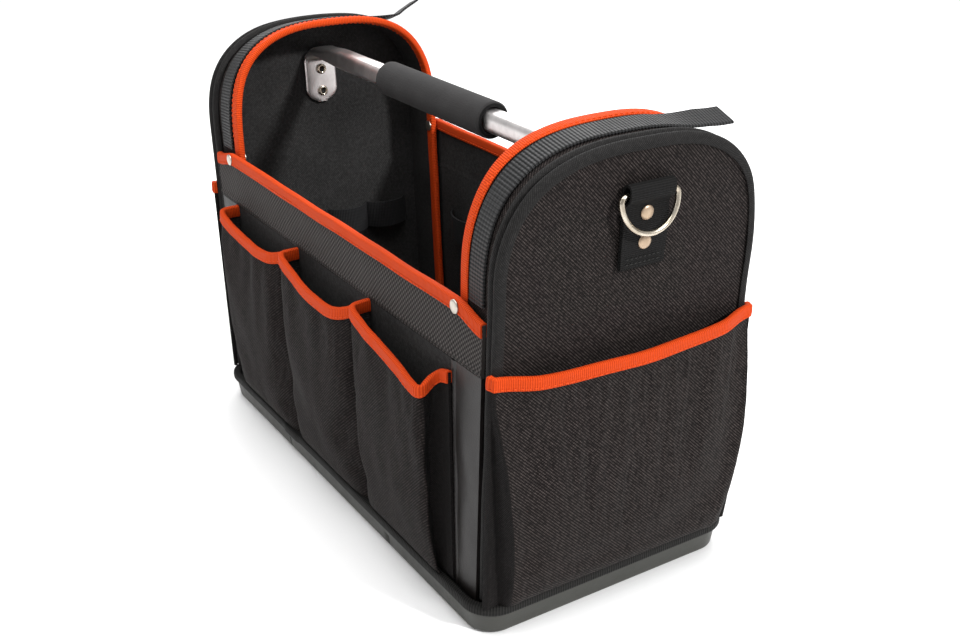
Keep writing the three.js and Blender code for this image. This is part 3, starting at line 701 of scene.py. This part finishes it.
def arch_strap(end, sx):
    """Webbing from the front rim over the crest, with a free tail past the middle."""
    low, high = STRAP.inner, STRAP.outer
    u, side = np.roll(band(low, high, 0.4, 7), 8, axis=1)
    v = GAP + STRAP.thick * (side + 0.5)
    path = [(-1, z, np.nan) for z in np.linspace(STRAP.foot, ARCH.spring, 4, endpoint=False)]
    path += [(0, 0, angle) for angle in np.linspace(pi, STRAP.lift, 60)]
    rings = list(arch(np.array(path), u, v))
    root = arch(np.array([(0, 0, STRAP.lift)]), u, 0 * v)[0]
    tip = -0.1 if end == "near" else 0.42
    for far in np.linspace(STRAP.tail / 16, STRAP.tail, 16):
        slope = 2 * STRAP.rise * far - STRAP.dip
        out = np.array([-slope, 1]) / hypot(slope, 1)
        curl = (0.3 - 3.4 * ease(0, 40, far)) * ((u - low) / (high - low) - 0.3)
        curl = curl + tip * max(0, far - 34) * ease(34, 44, far)
        rise = STRAP.rise * far ** 2 - STRAP.dip * far
        rings.append(root + xyz(0, far + out[0] * v, rise + out[1] * v + curl))
    done(loft(f"strap_{end}", rings, WEBBING, (sx, 1)), "webbing", f"arch_strap_{end}")


# Long walls
def wall_end(z):
    return panel_x(z) - WALL.inset


def wall_grid(ends, foot, top, columns, rows):
    """Places (x, z) of a wall piece, foot to top and left to right between its ends at each height."""
    z = np.linspace(foot, top, rows)[None, :]
    left, right = ends(z)
    x = left + (right - left) * np.linspace(0, 1, columns)[:, None]
    return np.broadcast_arrays(x, z)


def wall_body(name, x, z, bulge, dent, look, mirror):
    """A thin wall piece, its outer face moved out by bulge and its inner face by dent."""
    rings = both_faces(xyz(x, -WALL.outside - bulge, z), xyz(x, -WALL.inside - dent, z))
    return loft(name, rings, look, mirror, lining=LINING)


RIVET_X = panel_x(RIM_RIVET.z) - RIM_RIVET.inset


def rim_dip(x):
    """How far the rim is pulled down past its rivets."""
    return RIM_RIVET.pull * ease(RIVET_X - RIM_RIVET.shank, RIVET_X + RIM_RIVET.run, np.abs(x))


def walls(side, sy):
    """A long wall, with the coarse band along its top and the tape over its edge."""
    edge = WALL.corner - GAP
    name = f"wall_cloth_{side}"
    x, z = wall_grid(lambda h: (-edge, edge), WALL.foot, WALL.band - GAP, 70, 40)
    hush = np.sin(pi * ease(0, 1, (z - WALL.foot) / WALL.soft))
    soft = hush * 0.6 * waves(xyz(x, 0, z), 80, seed_of(name))
    done(wall_body(name, x, z, np.minimum(soft, 0.15), soft, LINING, (1, sy)), "cloth", f"wall_{side}")

    name = f"band_{side}"
    x, z = wall_grid(lambda h: (-wall_end(h), wall_end(h)), WALL.band, WALL.top, 110, 30)
    up = (z - WALL.band) / (WALL.top - WALL.band)
    z = z - up * rim_dip(x)
    crown = 0.9 + 0.5 * waves(xyz(x, 0, z), 90, seed_of(name))
    crown = np.sin(pi * np.clip(up / 0.8, 0, 1)) * crown
    crown = np.where(np.abs(x) > WALL.corner, crown * 0.6, crown) + 0.9 * np.exp(-((up - 0.1) / 0.045) ** 2)
    done(wall_body(name, x, z, np.maximum(crown, 0), 0.3 * crown, COARSE, (1, sy)), "coarse_cloth",
         f"rim_band_{side}")
    row = xyz(x[:, 1], -WALL.outside - 0.5, z[:, 1] + 0.6)
    sew("grey", row, (0, -1, 0), pitch=4.4, mirror=(1, sy))

    name = f"rim_tape_{side}"
    section = tape_section(WALL.outside - WALL.inside)
    reach = wall_end(WALL.top - TAPE.width)
    places = np.linspace(-reach, reach, 140)
    rings = xyz(places[:, None], -WALL.outside - section[:, 1], WALL.top + section[:, 0])
    rings[..., 2] += 0.35 * waves(rings, 70, seed_of(name)) - rim_dip(rings[..., 0])
    rings[..., 1] += 0.25 * waves(rings, 85, seed_of(name) + 1)
    done(loft(name, rings, ORANGE, (1, sy)), "orange_tape", f"rim_binding_{side}")
    for y, way in ((-WALL.outside - 1.5, -1), (-WALL.inside + 1.5, 1)):
        row = xyz(places, y, WALL.top - TAPE.seam - rim_dip(places))
        sew("orange", row, (0, way, 0), mirror=(1, sy))


def corner_panel(side, sy, end, sx):
    """A vinyl corner, crowned a little, with a folded and stitched edge next to the pocket."""
    name = f"corner_{side}_{end}"
    x, z = wall_grid(lambda h: (WALL.corner, wall_end(h)), WALL.foot, WALL.band - GAP, 26, 60)
    share = (x - WALL.corner) / (wall_end(z) - WALL.corner)
    up = (z - WALL.foot) / (WALL.band - WALL.foot)
    hush = np.sin(pi * np.clip(share, 0, 1)) * np.sin(pi * np.clip(up, 0, 1)) ** 0.5
    crown = hush * (1.7 + 0.8 * waves(xyz(x, 0, z), 55, seed_of(name)))
    flat, slope = VINYL_FOLD.width, VINYL_FOLD.slope
    fold = VINYL_FOLD.height * (1 - ease(flat, flat + slope, x - WALL.corner))
    piece = wall_body(name, x, z, np.maximum(crown, 0) + fold, 0, VINYL, (sx, sy))
    heights = np.linspace(26, WALL.band - 4, 60)
    row = xyz(WALL.corner + VINYL_FOLD.seam, -WALL.outside - 1.0, heights)
    sew("black", row, (0, -1, 0), mirror=(sx, sy))
    done(piece, "vinyl", f"corner_panel_{side}_{end}")


# Pouches. A surface gives places (along, out, height) at levels from the foot (0) to the mouth (1).
FAR_CORNER = [(-53.6, 0, 0), (-53.4, 6, 0), (-52.4, 12.6, 0.3), (-48, 15.6, 1.5), (-36, 16, 5)]
# The rest of each side pocket's line, from the square corner to the near seam, at its mouth and below it
POCKET_MOUTH = {
    1: [(-10, 15.6, 9.5), (14, 14.8, 11.5), (31, 12.6, 10.5), (42, 8.6, 8), (48.5, 4.6, 5), (53.6, 3, 3)],
    2: [(-10, 16.0, 11), (14, 16.2, 13.5), (32, 14.6, 13), (43, 9.6, 10), (49, 4.8, 6), (53.6, 3, 4)],
    3: [(-10, 16, 11), (15, 17, 15.5), (32, 17.8, 18.5), (40, 17.6, 19), (43.2, 14.5, 18), (42.2, 7.5, 14),
        (44, 3.6, 11), (48, 3, 9.5), (53.6, 3, 8)],
}
POCKET_BELLOWS = {
    1: [(-10, 15.8, 9.5), (14, 15.8, 11.5), (33, 15, 10.5), (45, 12, 8), (50.5, 6.5, 5), (53.6, 3, 3)],
    2: [(-10, 16.2, 11), (14, 16.4, 13.5), (33, 15.6, 13), (45, 12.4, 10), (50.5, 6.6, 6), (53.6, 3, 4)],
    3: [(-10, 16, 11), (15, 16.6, 15.5), (32, 16.4, 18.5), (41.5, 15.4, 19), (44.2, 12.6, 18),
        (37.5, 7.4, 14), (45, 3.6, 11), (48.5, 3, 9.5), (53.6, 3, 8)],
}


def front_pocket(number, name):
    """A pocket with a square corner at its far side and a bellows at its near side."""
    mouth = smooth(FAR_CORNER + POCKET_MOUTH[number], 8)[:, :, None]
    low = smooth(FAR_CORNER + POCKET_BELLOWS[number], 8)[:, :, None]
    seed = seed_of(name)

    def surface(level):
        open_up = ease(0.72, 1, level)
        a, out, drop = (low[:, k] + (mouth - low)[:, k] * open_up for k in range(3))
        fill = 0.36 + 0.64 * (1 - np.maximum(1 - level, 0) ** 3.2)
        out = np.where(out > 2.2, 2.2 + (out - 2.2) * fill, out)
        z = POUCH_FOOT + (POCKET.mouth - drop - POUCH_FOOT) * level
        spots = xyz(a, 0, z)
        crease = 0.9 * waves(spots, 62, seed) + 0.3 * waves(spots * (1, 1, 0.45), 22, seed + 1)
        front = np.clip(out / 14, 0, 1) ** 2 * ease(0, 0.12, level) * (1 - 0.5 * ease(0.85, 1, level))
        return xyz(a, out + front * crease, z)

    return surface


def soften(values, times):
    """Rounds off the corners of lines that run along the first axis."""
    for _ in range(times):
        values = np.concatenate([values[:1], (values[:-2] + 2 * values[1:-1] + values[2:]) / 4, values[-1:]])
    return values


def end_pocket(name):
    """The wide end pocket: its sides run out past the piping and turn along a pleat that opens
    towards the foot."""
    size, seed = END_POCKET, seed_of(name)
    half = size.half
    steps = [[-1, -0.5], np.linspace(0, 1, 7), np.linspace(1, 2, 26)[1:], np.linspace(2, 3, 90)[1:]]
    steps = np.concatenate(steps)
    steps = np.concatenate([steps, steps[-2::-1]])[:, None]
    way = np.where(np.arange(len(steps)) < len(steps) // 2, -1, 1)[:, None]

    def surface(level):
        rise = np.clip(level / 0.9, 0, 1)
        depth = size.foot_depth + (size.mouth_depth - size.foot_depth) * rise
        depth = depth + size.belly * np.sin(pi * rise)
        turn = half - 2 - size.pleat * (1 - rise ** 1.5)
        side, pleat, front = (np.clip(steps - k, 0, 1) for k in range(3))
        flange = np.clip(-steps, 0, 1)
        a = half - 2.9 * flange - 1.2 * side - (half - 1.2 - turn) * pleat - turn * front
        a = a + 0 * level
        swell = size.bulge * np.minimum(4 * level, 1) * (1 - (a / half) ** 2) * ease(0, 0.3, front)
        low = 1 - rise ** 1.5
        valley = (5 - 2 * rise ** 2) * side - 1.2 * low * ease(0, 0.6, pleat)
        corner = depth - 4.5 * rise ** 2 * (1 - ease(0, 0.3, front))
        bevel = valley + (corner - valley) * ease(0.66 * ease(0, 0.25, low), 1, pleat)
        out = bevel + swell + low * 1.2 * np.exp(-((steps - 2.04) / 0.06) ** 2)
        billow = 6 * np.sin(pi * rise) * ease(0, 1.2, steps) * (1 - ease(2, 2.4, steps))
        a = soften(a + billow * (way > 0), 4) * way
        out = soften(out, 4)
        mouth = size.mouth - size.sag * (1 - (a / half) ** 2)
        z = POUCH_FOOT + (mouth - POUCH_FOOT) * level
        spots = xyz(a, 0, z)
        calm = ease(0, 0.12, front) * ease(0, 0.05, level) * (1 - 0.8 * ease(0.85, 1, level))
        bunch = ease(40, 85, np.abs(a)) * np.exp(-((level - 0.16) / 0.13) ** 2)
        crease = 1.1 * waves(spots, 90, seed) + 0.35 * waves(spots * (0.6, 1, 1), 34, seed + 2)
        crease = crease + bunch * (1.2 + 1.5 * waves(spots * (0.5, 1, 1.3), 24, seed + 3))
        foot = 2.0 * np.exp(-((level - 0.07) / 0.05) ** 2) * ease(0, 0.1, front)
        return xyz(a, out + calm * crease + foot, z)

    return surface


SETTLED = {}


def settle(kind, sheet, held):
    """How far the cloth of one kind of pouch moves when it is a little too wide for the edges that hold
    it, found by cloth simulation at ten times the size."""
    if kind in SETTLED:
        return SETTLED[kind]
    scene, scale = bpy.context.scene, 10 * MM
    verts, faces, _ = loft_data(sheet * scale, ring_loop=False)
    mesh = bpy.data.meshes.new("sheet")
    mesh.from_pydata(verts.tolist(), [], faces)
    loose = put("sheet", mesh)
    loose.vertex_groups.new(name="held").add(np.flatnonzero(held).tolist(), 1.0, "REPLACE")
    cloth = loose.modifiers.new("settle", "CLOTH")
    cloth.settings.vertex_group_mass = "held"
    for key, value in SETTLE.items():
        setattr(cloth.settings, key, value)
    cloth.settings.effector_weights.gravity = SETTLE_GRAVITY
    cloth.collision_settings.use_collision = False
    for frame_number in range(1, SETTLE_FRAMES + 1):
        scene.frame_set(frame_number)
    shape = loose.evaluated_get(bpy.context.evaluated_depsgraph_get()).data
    moved = np.empty(sheet.size, np.float32)
    shape.vertices.foreach_get("co", moved)
    moved = moved.reshape(sheet.shape) / scale - sheet
    bpy.data.objects.remove(loose)
    bpy.data.meshes.remove(mesh)
    scene.frame_set(1)
    reach = np.linalg.norm(moved, axis=-1, keepdims=True) + 1e-6
    moved *= SETTLE_CAP * np.tanh(reach / SETTLE_CAP) / reach
    share = (sheet[..., 1:2] - SETTLE_FROM) / (SETTLE_FULL - SETTLE_FROM)
    SETTLED[kind] = moved * np.clip(share, 0, 1)
    return SETTLED[kind]


def outward(surface, level):
    """Outward directions of a pouch's surface."""
    up = surface(level + 0.004) - surface(level - 0.004)
    return unit(np.cross(up, np.gradient(surface(level), axis=0)))


# Columns of a pouch's grid: held by each side seam, in each side of an end pocket, before a bellows
HELD, END_SIDE, BELLOWS_START = 9, 34, 72
# Its rows, and the level from which the tape round the mouth holds the cloth
ROWS, HELD_LEVEL = 44, 0.94


def pouch(name, kind, surface, cloth, height, look, place, mirror, flat, nodes):
    """A pouch and the folded tape along its mouth."""
    levels = np.linspace(0, 1, ROWS)[None, :] ** 0.9
    outer = surface(levels)
    count = len(outer)
    side = range(END_SIDE) if kind == "end" else ()
    held = np.zeros(outer.shape[:2], bool)
    held[:, 0], held[:, levels[0] > HELD_LEVEL] = True, True
    held[:HELD], held[-HELD:] = True, True
    outer = outer + settle(kind, outer, held)
    inner = outer - cloth * outward(surface, np.maximum(levels, 0.01))
    # The side strips of an end pocket and the bellows of a side pocket get the darker bellows cloth, as
    # painted shade in these folds
    shaded_bellows = {*side, *(count - 2 - i for i in side)} or set(range(BELLOWS_START, count))
    rings = place(both_faces(outer, inner))
    done(loft(name, rings, look, mirror, flat=flat, lining=LINING, shaded_bellows=shaded_bellows), "cloth", nodes[0])

    section = tape_section(cloth)
    rings = surface(1 + np.minimum(section[:, 0], 0)[None, :] / height)
    way = outward(surface, np.ones((1, 1)))
    rings = rings + way * section[None, :, 1:]
    rings[..., 2] += np.maximum(section[:, 0], 0) + 0.3 * waves(rings, 45, seed_of(name) + 5)
    done(loft(f"{name}_tape", place(rings), ORANGE, mirror), "orange_tape", nodes[1])

    row = surface(np.full((1, 1), 1 - TAPE.seam / height)) + way * (GAP + TAPE.thick + 0.15)
    sew("orange", place(row)[:, 0], place(row + way)[:, 0] - place(row)[:, 0], mirror=mirror)


def on_front(middle):
    return lambda p: xyz(middle + p[..., 0], -WALL.outside - GAP - p[..., 1], p[..., 2])


def on_end(p):
    return xyz(panel_x(p[..., 2]) + END_POCKET.side + p[..., 1], p[..., 0], p[..., 2])


# Handle and metal parts
PLATE_X = -GAP - PANEL.thick - GAP - PLATE.thick / 2


def handle_tube():
    """A tube that flattens towards each end, bends down and ends in a rounded plate."""
    turn = pi / 2 + atan(PANEL.lean)
    bend, foot, size = HANDLE.bend, HANDLE.foot, HANDLE.size
    wide, thin = size + HANDLE.spread, size - HANDLE.spread
    plate_top = HANDLE.z - bend + bend * cos(turn)
    bend_x = panel_x(plate_top) + PLATE_X - bend * sin(turn)
    steps = [(x, HANDLE.z, 0, size, size) for x in np.linspace(0, bend_x - HANDLE.flat, 12)]
    for part in np.linspace(0.08, 1, 12):
        grow = HANDLE.spread * ease(0, 1, part)
        x = bend_x - HANDLE.flat * (1 - part) - 0.01 * (part == 1)
        steps.append((x, HANDLE.z, 0, size + grow, size - grow))
    for part in np.linspace(0.06, 1, 14):
        angle = turn * part
        grow = ease(0, 1, part)
        steps.append((bend_x + bend * sin(angle), HANDLE.z - bend + bend * cos(angle), angle,
                      wide + (PLATE.width - wide) * grow, thin + (PLATE.thick - thin) * grow))
    for part in np.concatenate([np.linspace(0.1, 0.6, 6), 1 - 0.36 * (1 - np.sin(np.linspace(0, 1.5, 14)))]):
        z = plate_top + (foot - plate_top) * part
        past = max(0, (foot + PLATE.corner - z) / PLATE.corner)
        round_off = sqrt(max(1 - past ** 2, 0.1))
        steps.append((panel_x(z) + PLATE_X, z, turn, PLATE.width * round_off, PLATE.thick))
    half = []
    for x, z, angle, width, thick in steps:
        a, b, _, _ = super_point(full_turn(40), width / 2, thick / 2, HANDLE.power)
        half.append(xyz(x + b * sin(angle), HANDLE.y + a, z + b * cos(angle)))
    rings = [ring * (-1, 1, 1) for ring in half[:0:-1]] + half
    done(loft("tube", rings, CHROME), "tube_steel", "handle_tube")


def foam_grip():
    """A sleeve with rounded ends and a gap between it and the tube; its bore and the thin rings round it are
    near-black foam, painted shade of that gap.
    """
    r, bore, length = GRIP.radius, GRIP.bore, GRIP.end - GRIP.start
    curve = arc(r - GRIP.edge, GRIP.edge, GRIP.edge, -pi / 2, 0, 6)
    body = [(r, x) for x in np.linspace(6, length - 6, 30)]
    profile = [(bore, GRIP.mouth), (bore, 0.6), (bore + 0.5, 0)] + curve + body
    profile += [(rr, length - x) for rr, x in curve[::-1]]
    profile += [(bore + 0.5, length), (bore, length - 0.6), (bore, length - GRIP.mouth)]
    piece = lathe("grip", profile, (GRIP.start, HANDLE.y, HANDLE.z), (1, 0, 0),
                  [FOAM_GAP_SHADE, FOAM, FOAM_GAP_SHADE], (3, len(profile) - 5), steps=48)
    done(piece, "foam", "foam_grip")


def handle_rivet(end, sx, level, z):
    """Through tab, panel and plate: a low dome outside and a hollow rolled end inside, whose floor is
    near-black metal as painted shade.
    """
    lean = atan(PANEL.lean)
    outside = GAP + 2 * TAB.web + 0.1
    grip = outside - (PLATE_X - PLATE.thick / 2)
    size = HANDLE_RIVET
    profile = [(size.head * cos(t), -GAP - size.dome * sin(t)) for t in np.linspace(pi / 2 - 0.05, 0, 8)]
    profile += [(size.shank, -GAP), (size.shank, grip + GAP)]
    for t in np.linspace(0.3, 4.4, 10):
        profile.append((size.roll + size.roll_width * sin(t), grip + GAP + 0.8 - cos(t)))
    profile += [(1.6, grip + 0.6), (0.2, grip + 0.4)]
    piece = lathe(f"rivet_{end}_{level}", profile, (panel_x(z) + outside, HANDLE.y, z),
                  (-cos(lean), 0, sin(lean)), [SAND_GOLD, NICKEL, HOLLOW_SHADE], (8, len(profile) - 3),
                  mirror=(sx, 1))
    done(piece, "nickel", f"handle_rivet_{end}_{level}")


def rim_rivet(side, sy, end, sx):
    """Through rim tape, wall, gusset and arch tape, with a low cap on both sides."""
    outside = WALL.outside + GAP + TAPE.thick
    half = ARCH.half - (ARCH.half - ARCH.inner_half) * RIM_RIVET.inset / ARCH.depth
    grip = outside - (half - GUSSET - GAP - TAPE.thick)
    head, shank = RIM_RIVET.head, RIM_RIVET.shank
    cap = [(head * sin(t), -0.5 - cos(t) ** 0.6) for t in np.linspace(0.05, pi / 2, 8)]
    profile = cap + [(head, -GAP), (shank, -GAP), (shank, grip + GAP), (head, grip + GAP)]
    profile += [(r, grip - h) for r, h in cap[::-1]]
    piece = lathe(f"rim_rivet_head_{side}_{end}", profile, (RIVET_X, -outside, RIM_RIVET.z), (0, 1, 0),
                  [BRASS], mirror=(sx, sy))
    done(piece, "nickel", f"rim_rivet_{side}_{end}")


def ring_tab(end, sx):
    """Webbing folded round the ring's bar, both layers sewn and riveted to the panel."""
    web, loop, foot = TAB.web, TAB.loop, TAB.foot
    back, front = GAP + web / 2, GAP + 1.5 * web + 0.1
    radius = loop - back
    reach = loop + radius
    top, low = RING.z + TAB.rise, RING.z - TAB.lip
    line = [(back, z) for z in np.linspace(foot, top, 16, endpoint=False)]
    line += arc(loop, top, radius, pi, 0, 20)
    line += [(reach + 0.3 * sin(pi * t), top + (low - top) * t) for t in np.linspace(0.2, 1, 5)]
    for t in np.linspace(0.12, 1, 8):
        line.append((front + (reach - front) * (1 - ease(0, 1, t)), low - TAB.taper * t))
    line += [(front, z) for z in np.linspace(line[-1][1] - 2, foot, 16)]
    line = np.array([(panel_x(z) + u, z) for u, z in line])
    ahead = unit(np.gradient(line, axis=0))
    along, lift = band(-TAB.half, TAB.half, 0.3, 13)
    rings = xyz(line[:, :1] - ahead[:, 1:] * web * lift, HANDLE.y + along,
                line[:, 1:] + ahead[:, :1] * web * lift)
    rings[..., 1] += 0.35 * waves(rings, 30, seed_of(end))
    y = HANDLE.y + np.linspace(-TAB.half + 2, TAB.half - 2, 12)
    for seam in TAB.seams:
        row = xyz(panel_x(foot + seam) + front + web / 2 + 0.1, y, foot + seam)
        sew("grey", row, (1, 0, 0), pitch=3.2, length=2.3, mirror=(sx, 1))
    done(loft(f"tab_{end}", rings, TAB_WEB, (sx, 1)), "webbing", f"ring_tab_{end}")


def d_ring(end, sx):
    """A round wire with a straight bar in the tab, small corners and a half circle below."""
    half, corner, bar = RING.half, RING.corner, panel_x(RING.z) + TAB.loop
    path = arc(half - corner, -corner, corner, pi / 2, 0.15, 8)
    path += arc(0, -corner, half, 0, -pi, 48)
    path += arc(corner - half, -corner, corner, pi - 0.15, pi / 2, 8)
    path += [(y, 0) for y in np.linspace(corner - half, half - corner, 10)[1:-1]]
    path = np.array(path)
    ahead = unit(np.roll(path, -1, 0) - np.roll(path, 1, 0))
    turns = full_turn(16)
    x, out = RING.wire * np.sin(turns), RING.wire * np.cos(turns)
    y, z = path[:, :1] - ahead[:, 1:] * out, path[:, 1:] + ahead[:, :1] * out
    c, s = cos(RING.tilt), sin(RING.tilt)
    rings = xyz(bar + c * x - s * z, HANDLE.y + y, RING.z + s * x + c * z)
    piece = loft(f"d_ring_wire_{end}", rings, NICKEL, (sx, 1), path_loop=True)
    done(piece, "nickel", f"d_ring_{end}", body=f"ring_{end}")


def loop_band(name, node, start, pitch, count, place):
    """Elastic band sewn down between its loops."""
    steps = 14
    z, side = band(LOOP.foot, LOOP.top, 0.4, 8)
    rings = []
    for i in range(count * steps + 1):
        lift = LOOP.depth * sin(pi * (i % steps) / steps) ** 0.7
        out = GAP + lift + LOOP.cloth * (0.5 - side)
        rings.append(xyz(*place(start + pitch * i / steps, out, z)))
    done(loft(name, np.array(rings), ELASTIC), "webbing", node)


# Everything in place
base_tray()
hem_tape()
handle_tube()
foam_grip()
loop_band("far_end_elastic", "loops_far_end", -76, 38, 4,
          lambda along, out, z: (-(panel_x(z) - GAP - PANEL.thick) + out, along, z))
loop_band("back_wall_elastic", "loops_back_wall", -144, 48, 6,
          lambda along, out, z: (along, WALL.inside - out, z))
for end, sx in ENDS.items():
    for make in (end_panel, gusset, arch_binding, edge_piping, arch_strap, ring_tab, d_ring):
        make(end, sx)
    name = f"end_pouch_{end}"
    pouch(name, "end", end_pocket(name), END_POCKET.cloth, END_POCKET.mouth - POUCH_FOOT, CLOTH, on_end,
          (sx, 1), (1, 2), (f"end_pocket_{end}", f"end_pocket_binding_{end}"))
    for level, z in RIVET_HEIGHTS.items():
        handle_rivet(end, sx, level, z)
for side, sy in SIDES.items():
    walls(side, sy)
    for i, middle in enumerate(POCKET.middles, 1):
        name = f"pouch_{side}_{i}"
        pouch(name, i, front_pocket(i, name), POCKET.cloth, POCKET.mouth - POUCH_FOOT, POCKET_CLOTH,
              on_front(middle), (1, sy), (0, 2), (f"pocket_{side}_{i}", f"pocket_binding_{side}_{i}"))
    for end, sx in ENDS.items():
        corner_panel(side, sy, end, sx)
        rim_rivet(side, sy, end, sx)
for thread, colours in THREAD_COLOURS.items():
    look = ribbed(f"{thread}_thread", *colours, 0.0006, depth=0.0001)
    slot = "orange_tape" if thread == "orange" else "webbing"
    done(thread_mesh(f"stitches_{thread}", THREADS[thread], look), slot)


# Floor, light and camera
def floor():
    mesh = bpy.data.meshes.new("floor")
    size = 6
    corners = [(-size, -size, 0), (size, -size, 0), (size, size, 0), (-size, size, 0)]
    mesh.from_pydata(corners, [], [(0, 1, 2, 3)])
    look = Look("pale_floor", Roughness=0.75)
    look.colour(look.ramp(look.noise(3), (0.3, (0.93, 0.93, 0.93)), (0.7, (0.95, 0.95, 0.95))))
    mesh.materials.append(look.material)
    plane = put("floor", mesh)


def softbox(name, place, aim, size, power):
    data = bpy.data.lights.new(name, "AREA")
    data.shape, data.size, data.size_y, data.energy = "RECTANGLE", size[0], size[1], power
    lamp = put(name, data)
    lamp.location = place
    lamp.rotation_euler = (Vector(aim) - Vector(place)).to_track_quat("-Z", "Y").to_euler()


def key_light():
    """A key light from above, to the right of the camera, with a soft edge."""
    data = bpy.data.lights.new("key", "SUN")
    data.energy, data.angle = 2.9, radians(6)
    ahead = Vector((-0.76, -0.34, -0.55))
    put("key", data).rotation_euler = ahead.to_track_quat("-Z", "Y").to_euler()


def camera():
    """The photograph's view."""
    place, azimuth, elevation, roll = (0.7353, -0.4312, 0.5043), radians(58.019), radians(24.314), -0.0083
    ahead = -Vector((sin(azimuth) * cos(elevation), -cos(azimuth) * cos(elevation), sin(elevation)))
    right = ahead.cross(Vector((0, 0, 1))).normalized()
    up = right.cross(ahead)
    level, tip = cos(roll) * right + sin(roll) * up, cos(roll) * up - sin(roll) * right
    data = bpy.data.cameras.new("photo_camera")
    data.sensor_fit, data.sensor_width, data.lens = "HORIZONTAL", 36, 46.81
    eye = put("photo_camera", data)
    turn = Matrix((level, tip, -ahead)).transposed().to_4x4()
    eye.matrix_world = Matrix.Translation(place) @ turn
    bpy.context.scene.camera = eye


floor()
softbox("overhead", (0.1, -0.2, 1.6), (0, 0, 0.1), (1.6, 1.2), 28)
softbox("back", (-1.1, 0.75, 0.95), (0.1, 0, 0.25), (1.2, 0.8), 12)
softbox("front", (0.3, -1.6, 1.0), (0.05, 0, 0.12), (1.0, 0.8), 3)
key_light()
world = bpy.data.worlds.new("studio")
world.use_nodes = True
background = world.node_tree.nodes["Background"].inputs
background[0].default_value = (1, 1, 1, 1)
background[1].default_value = 0.52
bpy.context.scene.world = world
bpy.context.scene.view_settings.view_transform = "Standard"
camera()
